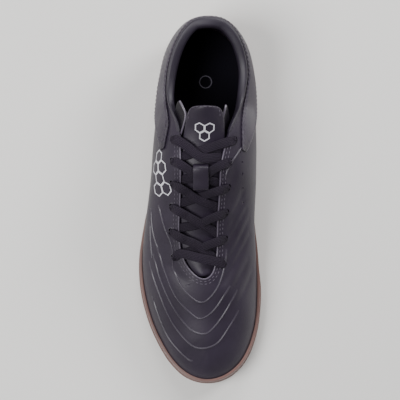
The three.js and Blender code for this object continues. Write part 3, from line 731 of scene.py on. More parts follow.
@shared_group("Shoe Weave", ("Height",))
def weave_group(group, entry):
    """Herringbone of a flat woven band on a UV map in metres."""
    parts = node(group, "ShaderNodeSeparateXYZ", {0: entry["Vector"]})
    side = node(group, "ShaderNodeMath", {0: parts.outputs["X"]}, operation="ABSOLUTE")
    slants = wave(group, ((side.outputs[0], 2.0 * MM), (parts.outputs["Y"], 1.3 * MM)))
    cords = wave(group, ((parts.outputs["X"], 1.0 * MM),))
    return node(group, "ShaderNodeMath", {0: slants, 1: 0.6, 2: cords},
                operation="MULTIPLY_ADD").outputs[0],


@shared_group("Shoe Knit", ("Height",))
def knit_group(group, entry):
    """Small crossed loops on Object coordinates."""
    x, y, z = node(group, "ShaderNodeSeparateXYZ", {0: entry["Vector"]}).outputs
    pitch = 1.1 * MM
    one = wave(group, ((x, pitch), (y, pitch), (z, pitch)))
    two = wave(group, ((x, -pitch), (y, pitch)))
    return node(group, "ShaderNodeMath", {0: one, 1: two}, operation="MULTIPLY").outputs[0],


@shared_group("Shoe Dust", ("Mask",), (("Top", 0.02),))
def dust_group(group, entry):
    """Mask of scuffs and dust that thins out upwards from the ground."""
    parts = node(group, "ShaderNodeSeparateXYZ", {0: entry["Vector"]})
    height = node(group, "ShaderNodeMapRange",
                  {"Value": parts.outputs["Z"], "From Min": 0.0, "From Max": entry["Top"],
                   "To Min": 1.0, "To Max": 0.0})
    specks = node(group, "ShaderNodeTexNoise",
                  {"Vector": entry["Vector"], "Scale": 160.0, "Detail": 6.0, "Roughness": 0.7})
    held = node(group, "ShaderNodeMapRange",
                {"Value": specks.outputs["Fac"], "From Min": 0.45, "From Max": 0.75})
    return node(group, "ShaderNodeMath", {0: height.outputs["Result"], 1: held.outputs["Result"]},
                operation="MULTIPLY").outputs[0],


PATTERNS = {"ribs": ribs_group, "weave": weave_group, "knit": knit_group}


def material(name, base, rough, coat=0.0, bump=0.3, pebble=900.0, tone=0.25,
             specular=0.4, pattern=None, relief=0.0, dust=0.0, dust_top=0.02):
    """Principled finish: shared grain, a woven or ribbed pattern with painted shade in its hollows and
    painted highlight on its crests, and dust near the ground.
    """
    made = bpy.data.materials.new(name)
    made.use_nodes = True
    tree = made.node_tree
    shader = tree.nodes["Principled BSDF"]
    where = node(tree, "ShaderNodeTexCoord")
    grain = node(tree, "ShaderNodeGroup")
    grain.node_tree = grain_group()
    grain.inputs["Pebble Scale"].default_value = pebble
    tree.links.new(where.outputs["Object"], grain.inputs["Vector"])
    ramp = node(tree, "ShaderNodeMapRange",
                {"Value": grain.outputs["Tone"], "From Min": 0.3, "From Max": 0.7,
                 "To Min": 1 - tone, "To Max": 1 + tone})
    shade = node(tree, "ShaderNodeVectorMath", {0: base, 3: ramp.outputs["Result"]}, operation="SCALE")
    tint = shade.outputs["Vector"]
    rough_range = node(tree, "ShaderNodeMapRange",
                       {"Value": grain.outputs["Tone"], "From Min": 0.3, "From Max": 0.7,
                        "To Min": rough - 0.06, "To Max": rough + 0.06})
    fine = node(tree, "ShaderNodeBump",
                {"Height": grain.outputs["Height"], "Strength": bump, "Distance": 0.12 * MM})
    bumped = fine.outputs["Normal"]
    if pattern:
        made_pattern = node(tree, "ShaderNodeGroup")
        made_pattern.node_tree = PATTERNS[pattern]()
        source = where.outputs["Object" if pattern == "knit" else "UV"]
        tree.links.new(source, made_pattern.inputs["Vector"])
        bumped = node(tree, "ShaderNodeBump",
                      {"Height": made_pattern.outputs["Height"], "Strength": 1.0, "Distance": relief,
                       "Normal": bumped}).outputs["Normal"]
        # The pattern's height also scales the colour: its hollows are painted darker as shade and its
        # crests lighter as highlight.
        low = node(tree, "ShaderNodeMapRange",
                   {"Value": made_pattern.outputs["Height"], "From Min": 0.0, "From Max": 1.0,
                    "To Min": 0.45, "To Max": 1.25})
        tint = node(tree, "ShaderNodeVectorMath", {0: tint, 3: low.outputs["Result"]},
                    operation="SCALE").outputs["Vector"]
    if dust:
        mask = node(tree, "ShaderNodeGroup")
        mask.node_tree = dust_group()
        mask.inputs["Top"].default_value = dust_top
        tree.links.new(where.outputs["Object"], mask.inputs["Vector"])
        held = node(tree, "ShaderNodeMath", {0: mask.outputs["Mask"], 1: dust}, operation="MULTIPLY")
        tint = mixed(tree, held.outputs[0], tint)
    tree.links.new(tint, shader.inputs["Base Color"])
    tree.links.new(rough_range.outputs["Result"], shader.inputs["Roughness"])
    tree.links.new(bumped, shader.inputs["Normal"])
    shader.inputs["Coat Weight"].default_value = coat
    shader.inputs["Coat Roughness"].default_value = 0.35
    shader.inputs["Specular IOR Level"].default_value = specular
    return made


def mixed(tree, share, tint, dusty=(0.16, 0.13, 0.11, 1.0)):
    """The tint with dust over it."""
    mix = node(tree, "ShaderNodeMix", data_type="RGBA")
    tree.links.new(share, mix.inputs[0])
    tree.links.new(tint, mix.inputs[6])
    mix.inputs[7].default_value = dusty
    return mix.outputs[2]


FINISHES = {
    "upper": dict(rough=0.46, bump=0.35, pebble=1100.0, specular=0.34, dust=0.15, dust_top=0.03),
    "panel": dict(rough=0.4, bump=0.15, pebble=1400.0, specular=0.5, pattern="ribs", relief=0.42 * MM),
    "lining": dict(rough=0.45, bump=0.3, pebble=1800.0, specular=0.45, pattern="knit", relief=0.05 * MM),
    "line": dict(rough=0.36, bump=0.15, pebble=1100.0, specular=0.45),
    "wing": dict(rough=0.6, bump=0.2, pebble=1800.0, specular=0.2),
    "bead": dict(rough=0.3, bump=0.15, pebble=1800.0, specular=0.5, coat=0.3),
    "insole": dict(rough=0.9, bump=0.4, pebble=1500.0, specular=0.1, pattern="knit", relief=0.1 * MM),
    "lace": dict(rough=0.8, bump=0.3, pebble=1600.0, specular=0.25, pattern="weave", relief=0.16 * MM),
    "thread": dict(rough=0.6, bump=0.3, pebble=2500.0),
    "gum": dict(rough=0.45, bump=0.25, pebble=700.0, tone=0.12, specular=0.4, dust=0.5, dust_top=0.014),
    "print": dict(rough=0.5, bump=0.1, pebble=1500.0, tone=0.08),
    "ring": dict(rough=0.7, bump=0.1, pebble=1500.0, tone=0.2),
}


def finish(context, kind):
    name = f"Shoe {kind}"
    if name in bpy.data.materials:
        return bpy.data.materials[name]
    return material(name, tuple(getattr(context.scene.shoe_colours, kind)), **FINISHES[kind])


SKIN_STATIONS = 240
SKIN_ROWS = 60


def side_stations(last, count=SKIN_STATIONS, round_count=44):
    """Rib places on one side, closer round the throat's end."""
    start, stop = last.rib_at_top(last.throat_end - last.throat_round), last.rib_at_top(last.throat_end)
    before = np.linspace(0, start, int(count * start / last.toe), endpoint=False)
    share = np.sin(np.linspace(0, math.pi / 2, round_count, endpoint=False))
    bend = last.rib_at_top(last.throat_end - last.throat_round * (1 - share))
    after = np.linspace(stop, last.toe, int(count * (last.toe - stop) / last.toe))
    return np.concatenate([before, bend, after])


def loop_stations(last, **counts):
    side = side_stations(last, **counts)
    return np.concatenate([side, (last.loop - side[1:])[::-1]])


class SHOE_OT_upper(bpy.types.Operator):
    """Make the lasted upper with its wall, its punched eyelets and its pinholes"""

    bl_idname = "shoe.upper"
    bl_label = "Upper"

    hole_radius = 1.9 * MM
    pinhole_radius = 0.55 * MM

    def execute(self, context):
        last = Last(context.scene.shoe_sizes)
        q = loop_stations(last)
        w = np.concatenate([np.linspace(-1, 0, 6, endpoint=False), np.linspace(0, 1, SKIN_ROWS)])
        grid = last.skin(q[:, None], w[None])
        photo = Photo(last)
        grid = grid + last.normal(q[:, None], w[None]) * Relief(photo).lift(grid)[..., None]
        piece = sheet_mesh("shoe_upper", grid)
        weld(piece)
        modify(piece, "SOLIDIFY", thickness=last.wall, offset=-1)
        self.punch(last, photo, piece)
        round_edges(piece, 0.4 * MM, 55, 2)
        smooth(piece)
        finish_piece(piece, finish(context, "upper"), "upper_synthetic", "upper")
        return {"FINISHED"}

    def punch(self, last, photo, piece):
        bpy.ops.object.select_all(action="DESELECT")
        spots = [(*last.eyelet(row, sign)[::2], self.hole_radius, 20)
                 for row in range(len(EYELET_ROWS)) for sign in (-1, 1)]
        spots += [(*photo.touch(x, y), self.pinhole_radius, 10) for x, y in PINHOLES]
        drills = []
        for point, normal, radius, sides in spots:
            turn = Vector(normal).to_track_quat("Z", "Y").to_euler()
            bpy.ops.mesh.primitive_cylinder_add(
                vertices=sides, radius=radius, depth=8 * MM, location=point, rotation=turn)
            drills.append(active())
        drill = join("drill", drills[::-1])
        modify(piece, "BOOLEAN", object=drill, operation="DIFFERENCE", solver="FAST")
        bpy.data.objects.remove(drill)


def panel_edges(share):
    """Lower and upper edge of the rear panel at shares of its reach."""
    at, low, high = np.array(PANEL_ROWS).T
    fine = np.linspace(0, 1, 400)
    blur = np.hanning(41) / np.hanning(41).sum()
    edges = []
    for row in (low, high):
        padded = np.pad(np.interp(fine, at, row), len(blur) // 2, mode="reflect", reflect_type="odd")
        edges.append(np.interp(share, fine, np.convolve(padded, blur, mode="valid")))
    return edges


class SHOE_OT_heel_quarter(bpy.types.Operator):
    """Make the ribbed panel round the heel"""

    bl_idname = "shoe.heel_quarter"
    bl_label = "Heel quarter"

    thick = 1 * MM

    def execute(self, context):
        last = Last(context.scene.shoe_sizes)
        reach = last.rear_reach(PANEL_RIBS)
        q = np.linspace(-reach, reach, 260)
        low, high = panel_edges(np.abs(q) / reach)
        across = np.linspace(0, 1, 32)
        w = low[:, None] + (high - low)[:, None] * across[None]
        q_grid = np.repeat(q[:, None] % last.loop, len(across), 1)
        surface, normal = last.skin(q_grid, w), last.normal(q_grid, w)
        rim = np.minimum(across, 1 - across) * (high - low).max() * 20
        lift = np.clip(np.minimum(rim[None], (reach - np.abs(q))[:, None] * 6), 0, 1)
        photo = Photo(last)
        grid = surface + normal * (CLEARANCE * lift + 0.05 * MM + Relief(photo).lift(surface))[..., None]
        run = lengths_along(surface[:, 16], 0)
        tall = lengths_along(surface[len(q) // 2], 0)[-1]
        uv = np.stack(np.broadcast_arrays((run - run[-1] / 2)[:, None], across[None] * tall), -1)
        piece = sheet_mesh("shoe_heel_quarter", grid)
        lay_uv(piece, uv)
        weld(piece)
        modify(piece, "SOLIDIFY", thickness=self.thick, offset=1)
        round_edges(piece, 0.45 * MM, 50)
        smooth(piece)
        finish_piece(piece, finish(context, "panel"), "panel_synthetic", "heel_quarter")
        return {"FINISHED"}


class SHOE_OT_collar(bpy.types.Operator):
    """Make the padded collar lining, rolled over the upper's edge"""

    bl_idname = "shoe.collar"
    bl_label = "Collar lining"

    pad = 4.6 * MM
    roll = 2 * MM

    def execute(self, context):
        last = Last(context.scene.shoe_sizes)
        reach = last.rear_reach(LINING_RIBS)
        q = np.linspace(-reach, reach, 120)
        share = np.abs(q) / reach
        ease = np.clip((share - 0.55) / 0.45, 0, 1)
        thick = self.pad * (1 - 0.7 * soft_step(ease))
        skin_side = last.wall + CLEARANCE
        # Section points: share of the wall's height, depth beyond the wall as a share of the
        # padding, depth in millimetres from the wall's outside, lift. The roll covers the wall's edge.
        section = (
            (0.5, 0.0, skin_side, 0.0),
            (4 / 6, 0.0, skin_side, 0.0),
            (5 / 6, 0.0, skin_side, 0.0),
            (1.0, 0.0, skin_side, CLEARANCE),
            (1.0, 0.0, -0.2 * MM, CLEARANCE),
            (0.965, 0.0, -0.1 * MM, 0.0),
            (0.955, 0.0, -0.5 * MM, 0.0),
            (0.975, 0.0, -1.0 * MM, 0.0),
            (1.0, 0.0, -0.8 * MM, 0.5 * self.roll),
            (1.0, 0.0, 0.6 * MM, self.roll),
            (1.0, 0.45, skin_side, 1.1 * self.roll),
            (1.0, 0.85, skin_side, 0.4 * self.roll),
            (5 / 6, 1.0, skin_side, 0.0),
            (4 / 6, 0.95, skin_side, 0.0),
            (0.55, 0.5, skin_side, 0.0),
        )
        front = np.clip((1 - share) / 0.08, 0.15, 1)
        rows = []
        for w, padding, depth, lift in section:
            w_all = np.full(q.shape, w)
            point = last.skin(q % last.loop, w_all)
            beyond = np.where(depth < 0, depth * front, depth) + padding * thick
            point = point - last.normal(q % last.loop, w_all) * beyond[:, None]
            point[:, 2] += lift * np.sqrt(front)
            rows.append(point)
        grid = capped(np.array(rows).transpose(1, 0, 2))
        piece = sheet_mesh("shoe_collar_lining", grid)
        weld(piece)
        modify(piece, "SUBSURF", levels=2, render_levels=2)
        smooth(piece, 80)
        finish_piece(piece, finish(context, "lining"), "lining_fabric", "collar_lining")
        return {"FINISHED"}


class SHOE_OT_insole(bpy.types.Operator):
    """Make the loose insole"""

    bl_idname = "shoe.insole"
    bl_label = "Insole"

    thick = 3 * MM
    ring_pixel = (205.6, 82)
    ring_radius = 4.2 * MM

    def execute(self, context):
        last = Last(context.scene.shoe_sizes)
        stations = np.linspace(0, last.toe, 120)
        across = np.linspace(0, 1, 25)
        inset = last.wall + 0.1 * MM

        def edge(q):
            point = last.skin(q, np.full(q.shape, -1.0))
            return point - last.normal(q, np.full(q.shape, -0.98)) * inset

        lateral, medial = edge(stations), edge(last.loop - stations)
        grid = lateral[:, None] * (1 - across[None, :, None]) + medial[:, None] * across[None, :, None]
        grid[..., 2] = last.sole_height("bed", last.share_of(grid)) + CLEARANCE
        piece = sheet_mesh("shoe_insole", grid)
        weld(piece)
        modify(piece, "SOLIDIFY", thickness=self.thick, offset=1)
        round_edges(piece, 0.4 * MM, 50)
        smooth(piece)
        finish_piece(piece, finish(context, "insole"), "insole_fabric", "insole")
        self.ring(context, last, tree_of(piece))
        return {"FINISHED"}

    def ring(self, context, last, tree):
        """Plain printed ring under the heel."""
        centre, _ = Photo(last).touch(*self.ring_pixel, tree)
        turn = np.linspace(0, 2 * math.pi, 12, endpoint=False)
        corners = centre + self.ring_radius * np.stack([np.cos(turn), np.sin(turn), 0 * turn], -1)
        ring = outline_ribbon("shoe_insole_ring", corners, tree, 0.7 * MM, 0.06 * MM)
        finish_piece(ring, finish(context, "ring"), "insole_fabric")


class SHOE_OT_outsole(bpy.types.Operator):
    """Make the gum cup sole with its rim, flange, footbed and tread"""

    bl_idname = "shoe.outsole"
    bl_label = "Outsole"

    flange_height = 4.5 * MM
    flange_round = 2.6 * MM
    flange_step = 0.9 * MM
    groove_depth = 1.5 * MM
    groove_width = 2.2 * MM

    def side(self, last, q):
        """Points of one side, from the ground edge over the lip to the footbed."""
        out, edge = last.outward(q), last.outline(q)
        ground = last.sole_height("under", last.share_of(edge))

        def step(inset, up):
            point = edge - out * inset
            point[..., 2] = up
            return point

        def beside(w, gap):
            return last.skin(q, np.full(q.shape, w)) + out * gap

        foot = step(self.flange_round, 0)
        foot[..., 2] = last.sole_height("under", last.share_of(foot))
        ledge = step(self.flange_step, ground + self.flange_height + self.flange_step)
        lip = beside(0.0, CLEARANCE + last.rim_lip)
        bed = beside(-1.0, CLEARANCE)
        bed[..., 2] = last.sole_height("bed", last.share_of(bed))
        return [foot, step(self.flange_round / 4, ground + self.flange_height / 3),
                step(0, ground + self.flange_height), ledge, ledge * 0.5 + lip * 0.5, lip,
                beside(0.0, CLEARANCE), beside(-0.5, CLEARANCE), bed]

    def grooves(self, last):
        """V-shaped bars that cut the tread, their points towards the toe."""
        bars = []
        for start, stop, count, width in TREADS:
            half = width * last.ball / 2
            ends = ((-half, 0), (0, -half / 5), (half, 0), (half, self.groove_width),
                    (0, self.groove_width - half / 5), (-half, self.groove_width))
            for at in np.linspace(start, stop, count):
                bpy.ops.object.select_all(action="DESELECT")
                bpy.ops.mesh.primitive_circle_add(vertices=6, fill_type="NGON")
                bar = active()
                for vertex, (x, y) in zip(bar.data.vertices, ends):
                    vertex.co = last.place(at, x, -self.groove_depth) + np.array([0, y, 0])
                bpy.ops.object.mode_set(mode="EDIT")
                bpy.ops.mesh.select_all(action="SELECT")
                bpy.ops.mesh.extrude_region_move(
                    TRANSFORM_OT_translate={"value": (0, 0, 2 * self.groove_depth)})
                bpy.ops.mesh.select_all(action="SELECT")
                bpy.ops.mesh.normals_make_consistent(inside=False)
                bpy.ops.object.mode_set(mode="OBJECT")
                bars.append(bar)
        return bars

    def execute(self, context):
        last = Last(context.scene.shoe_sizes)
        q = side_stations(last, count=150, round_count=10)
        lateral, medial = self.side(last, q), self.side(last, last.loop - q)

        def across(start, end, name):
            points = []
            for share in np.linspace(0, 1, 10)[1:-1]:
                point = start * (1 - share) + end * share
                point[..., 2] = last.sole_height(name, last.share_of(point))
                points.append(point)
            return points

        bed = across(lateral[-1], medial[-1], "bed")
        ground = across(medial[0], lateral[0], "under")
        rows = np.array([*lateral, *bed, *medial[::-1], *ground, lateral[0]]).transpose(1, 0, 2)
        piece = sheet_mesh("shoe_outsole", rows)
        weld(piece)
        round_edges(piece, 0.5 * MM, 35)
        cutter = join("groove_cutter", self.grooves(last))
        modify(piece, "BOOLEAN", object=cutter, operation="DIFFERENCE", solver="EXACT")
        bpy.data.objects.remove(cutter)
        smooth(piece)
        finish_piece(piece, finish(context, "gum"), "gum_rubber", "outsole")
        return {"FINISHED"}


def bead(name, path, radius, sides=8):
    """Thin round roll along a path."""
    turn = np.linspace(0, 2 * math.pi, sides, endpoint=False)
    profile = radius * np.stack([np.cos(turn), np.sin(turn)], -1)
    ups = np.tile((0.0, 0.0, 1.0), (len(path), 1))
    piece = sheet_mesh(name, capped(sweep(path, ups, profile)))
    weld(piece)
    smooth(piece, 80)
    return piece


THROAT_START = 82 * MM


def throat_edge(last):
    """Evenly spaced points of the throat's edge, from the ankle round its toe end and back."""
    start, stop = last.rib_at_top(THROAT_START), last.rib_at_top(last.throat_end - 0.02 * MM)
    r = start + (stop - start) * np.sin(np.linspace(0, math.pi / 2, 160))
    lateral, medial = (last.skin(last.side_rib(r, sign), np.ones(r.shape)) for sign in (-1, 1))
    return smooth_path(np.vstack([lateral, medial[::-1]])[::4], 1.0 * MM)


TONGUE_STEPS = 6
TONGUE_CROWN = 3 * MM


def tongue_rows(last):
    """Rows of the tongue's top surface, from its free end to the throat's end."""
    rows = []
    columns = np.clip(np.arange(-1, TONGUE_STEPS + 2) * 2 / TONGUE_STEPS - 1, -1.12, 1.12) / 1.12
    for at, half, up in TONGUE_TOP:
        middle = last.ball * last.around("middle", last.rib_at_top(at * last.length))
        height = up * last.instep - 2 * TONGUE_CROWN * columns ** 2
        rows.append(last.place(np.full(columns.shape, at), middle + half * last.ball * columns, height))
    start = last.rear_reach(PANEL_RIBS)
    stop = last.rib_at_top(last.throat_end - 2.5 * MM)
    for r in np.linspace(start, stop, 24):
        spread = np.clip((r - start) / 1.3, 0, 1)
        depth = last.wall + CLEARANCE * (3 - 2 * spread)
        ends = []
        for sign in (-1, 1):
            q = np.array([last.side_rib(r, sign)])
            edge, back = (last.skin(q, w) - last.normal(q, w) * depth
                          for w in (np.array([1.0]), np.array([0.83])))
            ends.append((edge[0], edge[0] + (back[0] - edge[0]) * (0.1 + 0.9 * spread)))
        share = np.linspace(0, 1, TONGUE_STEPS + 1)[:, None]
        middle = ends[0][0] * (1 - share) + ends[1][0] * share
        middle[:, 2] += TONGUE_CROWN * 4 * (share * (1 - share))[:, 0]
        rows.append(np.vstack([ends[0][1], middle, ends[1][1]]))
    return np.array(rows)


class SHOE_OT_tongue(bpy.types.Operator):
    """Make the padded tongue and its thin wings"""

    bl_idname = "shoe.tongue"
    bl_label = "Tongue"

    pad = 4.5 * MM
    wing = 1.5 * MM
    wing_thick = 1 * MM
    wing_rows = 30
    bead_radius = 0.7 * MM
    # Thin wings that stand beside the free tongue: their upper edge and their foot under the
    # eyestay, as pixels with a height in millimetres.
    wing_lines = (
        (((179.6, 100.8, 70), (182.4, 106, 71), (185.6, 114.5, 71), (184, 124, 69), (181, 134, 65)),
         ((178.0, 101.8, 66), (176.2, 108, 60), (175.6, 117, 57), (176.5, 126, 57), (178, 134, 58))),
        (((225.9, 105, 70), (224.8, 110, 71), (223.0, 117.5, 71), (222.6, 126, 69), (222, 134, 65)),
         ((226.8, 106, 66), (228.0, 112, 60), (228.6, 120, 57), (226, 128, 57), (223.6, 135, 58))),
    )

    def execute(self, context):
        last = Last(context.scene.shoe_sizes)
        top = tongue_rows(last)
        share = np.abs(np.linspace(-1, 1, top.shape[1]))
        taper = np.clip((share - 0.55) / 0.3, 0, 1)
        thick = self.pad + (self.wing - self.pad) * soft_step(taper)
        under = top.copy()
        under[..., 2] -= thick[None]
        under[0, :, 2] += 0.4 * thick
        rows = np.concatenate([top, under[:, ::-1]], 1)
        piece = sheet_mesh("shoe_tongue", capped(rows))
        weld(piece)
        modify(piece, "SUBSURF", levels=2, render_levels=2)
        smooth(piece, 80)
        finish_piece(piece, finish(context, "upper"), "tongue_synthetic", "tongue")
        photo = Photo(last)
        sheets, beads = zip(*[self.wing_of(photo, *line) for line in self.wing_lines])
        finish_piece(join("shoe_tongue_wings", sheets), finish(context, "wing"), "tongue_synthetic")
        finish_piece(join("shoe_tongue_wing_edges", beads), finish(context, "bead"), "tongue_synthetic")
        return {"FINISHED"}

    def wing_of(self, photo, top, foot):
        lines = []
        for knots in (top, foot):
            path = smooth_path([photo.at_height(x, y, height * MM) for x, y, height in knots], 0.8 * MM)
            lines.append(path[np.linspace(0, len(path) - 1, self.wing_rows).round().astype(int)])
        share = np.linspace(0, 1, 9)[None, :, None]
        rows = lines[0][:, None] * (1 - share) + lines[1][:, None] * share
        sheet = sheet_mesh("shoe_tongue_wing", rows)
        weld(sheet)
        modify(sheet, "SOLIDIFY", thickness=self.wing_thick, offset=0)
        smooth(sheet, 80)
        return sheet, bead("shoe_tongue_wing_edge", lines[0], self.bead_radius)


class Ground:
    """Heights of the tongue under the laces."""

    def __init__(self, piece):
        self.tree = tree_of(piece)

    def below(self, point):
        hit, normal = drop(self.tree, point)
        return hit[2], normal


def lace_profile(width, thick, round_steps=5):
    """Closed flat section with round edges, resting on its underside."""
    radius = thick / 2
    angles = np.linspace(-math.pi / 2, math.pi / 2, round_steps)
    right = np.stack([width / 2 - radius + radius * np.cos(angles), radius + radius * np.sin(angles)], -1)
    return np.vstack([right, right[::-1] * (-1, 1)])


class SHOE_OT_laces(bpy.types.Operator):
    """Run the flat lace through the eyelets"""

    bl_idname = "shoe.laces"
    bl_label = "Laces"

    # How deep a strand starts in its eyelet, its share of the width as it comes out of the hole,
    # and how far its other end goes under the far eyestay.
    depth = 2.6 * MM
    gathered = (0.55, 0.62, 0.92)
    tuck = 3 * MM
    keeper_width = 10 * MM
    keeper_thick = 1 * MM

    def band(self, name, knots, ups, widths, thick):
        path = smooth_path(np.hstack([knots, ups, np.asarray(widths)[:, None]]), 1.0 * MM)
        profiles = np.array([lace_profile(width, thick) for width in path[:, 6]])
        piece = sheet_mesh(name, capped(sweep(path[:, :3], path[:, 3:6], profiles)))
        run = lengths_along(path[:, :3], 0)
        along = np.repeat(run[:, None], profiles.shape[1], 1)
        lay_uv(piece, capped(np.stack([profiles[..., 0], along], -1)))
        weld(piece)
        smooth(piece, 60)
        return piece

    def run(self, last, ground, row, sign, crossed):
        start, edge, normal = last.eyelet(row, sign)
        target = last.eyelet(row + 1, -sign)[0]
        columns = dict(zip(EYELET_COLUMNS, EYELET_ROWS[row]))
        droop = self.width * columns["droop_lateral" if sign < 0 else "droop_medial"]

        def beside(t):
            return bool(last.beside_throat(start + (target - start) * t))

        near = float(last.solve(0.0, 0.5, beside))
        far = float(last.solve(0.5, 1.0, lambda t: not beside(t)))
        up = np.array([0.0, 0.0, 1.0])
        ease = unit(normal * 0.6 + up * 0.4)
        over = start + (target - start) * near
        over[2] = edge[2]
        inward = unit(target - start)
        knots = [start - normal * self.depth, start - normal * 0.4 * MM + inward * 0.1 * MM,
                 start + normal * 0.35 * MM + inward * 1.4 * MM, over + ease * 3 * CLEARANCE]
        ups = [-inward, unit(normal * 0.5 - inward * 0.8), normal, ease]
        widths = [*self.gathered, 1]
        dips = ((0.2, last.wall + 2 * CLEARANCE), (0.34, 0.6 * last.wall + CLEARANCE + crossed / 2),
                (0.5, crossed), (0.68, crossed / 2), (0.84, 0.0), (1.0, 0.0))
        for share, lift in dips:
            t = near + (far - near) * share
            point = start + (target - start) * t
            point[1] -= droop * math.sin(math.pi * share) ** 2
            height, slope = ground.below(point)
            point[2] = height + 1.2 * CLEARANCE + lift
            knots.append(point)
            ups.append(slope)
        under = knots[-1] + unit(knots[-1] - knots[-2]) * self.tuck
        under[2] = ground.below(under)[0] + 0.5 * CLEARANCE
        knots.append(under)
        ups.append(ups[-1])
        widths += [1] * (len(knots) - len(widths))
        side = "lateral" if sign < 0 else "medial"
        widths = np.array(widths) * self.width
        return self.band(f"shoe_lace_{row + 1}_{side}", knots, ups, widths, self.thick)

    def bar(self, last, ground):
        up = np.array([0.0, 0.0, 1.0])
        eyelets = [last.eyelet(len(EYELET_ROWS) - 1, sign) for sign in (-1, 1)]
        halves = []
        for (hole, edge, normal), (other, _, _) in zip(eyelets, eyelets[::-1]):
            inward = unit(other - hole)
            halves.append((
                [hole - normal * self.depth, hole - normal * 0.4 * MM,
                 hole + normal * 0.35 * MM + inward * 1.4 * MM, edge + unit(normal + up) * 2 * CLEARANCE],
                [-inward, unit(normal * 0.5 - inward * 0.8), normal, unit(normal + up)]))
        middle = (eyelets[0][1] + eyelets[1][1]) / 2
        middle[2] = ground.below(middle)[0] + self.thick + 4.5 * CLEARANCE
        (left, left_ups), (right, right_ups) = halves
        widths = np.array([*self.gathered, 1, 1, 1, *self.gathered[::-1]]) * self.width
        return self.band("shoe_lace_bar", [*left, middle, *right[::-1]],
                         [*left_ups, up, *right_ups[::-1]], widths, self.thick)

    def keeper(self, last, ground):
        spots = [last.eyelet(*place)[0] for place in ((1, -1), (2, 1), (1, 1), (2, -1))]
        centre = np.mean(spots, 0)
        centre[1] -= self.width * EYELET_ROWS[1][2]
        arch = 2 * self.thick + 2.4 * CLEARANCE
        knots, ups = [], []
        for along, lift in ((8.0, 0), (6.4, arch), (0, arch), (-5.5, arch), (-6.9, 0)):
            point = centre + np.array([0, along * MM, 0])
            height, slope = ground.below(point)
            point[2] = height + CLEARANCE
            knots.append(point + slope * lift)
            ups.append(slope)
        widths = [self.keeper_width] * len(knots)
        return self.band("shoe_lace_keeper", knots, ups, widths, self.keeper_thick)

    def execute(self, context):
        sizes = context.scene.shoe_sizes
        self.width, self.thick = sizes.lace_width, sizes.lace_thick
        last = Last(sizes)
        ground = Ground(bpy.data.objects["shoe_tongue"])
        material = finish(context, "lace")
        for row in range(len(EYELET_ROWS) - 1):
            over = self.run(last, ground, row, -1, self.thick)
            under = self.run(last, ground, row, 1, 0.0)
            finish_piece(over, material, "lace_fabric", f"lace_cross_{row + 1}")
            finish_piece(under, material, "lace_fabric", f"lace_cross_{row + 1}")
        finish_piece(self.bar(last, ground), material, "lace_fabric", "lace_bar")
        finish_piece(self.keeper(last, ground), finish(context, "upper"), "tongue_synthetic", "lace_keeper")
        return {"FINISHED"}


class SHOE_OT_vamp_lines(bpy.types.Operator):
    """Lay the raised lines on the vamp and quarters"""

    bl_idname = "shoe.vamp_lines"
    bl_label = "Vamp lines"

    width = 1.8 * MM
    height = 0.7 * MM

    def execute(self, context):
        last = Last(context.scene.shoe_sizes)
        photo = Photo(last)
        relief = Relief(photo)
        across = np.linspace(-1, 1, 9)
        profile = np.stack([across * self.width / 2,
                            self.height * (np.cos(across * math.pi) * 0.5 + 0.5) - 0.12 * MM], -1)
        made = []
        for index, knots in enumerate((*VAMP_LINES, *QUARTER_LINES)):
            points, normals = photo.path(knots)
            points = points + normals * relief.lift(points)[:, None]
            fade = np.sin(np.clip(np.linspace(0, 1, len(points)) * 6, 0, 1) * math.pi / 2)
            fade = np.minimum(fade, fade[::-1])
            shapes = profile[None] * np.stack([np.ones(len(points)), fade], -1)[:, None]
            made.append(sheet_mesh(f"shoe_vamp_line_{index + 1}", sweep(points, normals, shapes)))
        piece = join("shoe_vamp_lines", made)
        smooth(piece, 80)
        finish_piece(piece, finish(context, "line"), "upper_synthetic")
        return {"FINISHED"}


class SHOE_OT_throat_bead(bpy.types.Operator):
    """Turn the throat's cut edge over in a thin bead"""

    bl_idname = "shoe.throat_bead"
    bl_label = "Throat bead"

    radius = 0.55 * MM
    sink = 0.25 * MM

    def execute(self, context):
        edge = throat_edge(Last(context.scene.shoe_sizes))
        edge[:, 2] -= self.sink
        piece = bead("shoe_throat_bead", edge, self.radius)
        finish_piece(piece, finish(context, "bead"), "upper_synthetic")
        return {"FINISHED"}


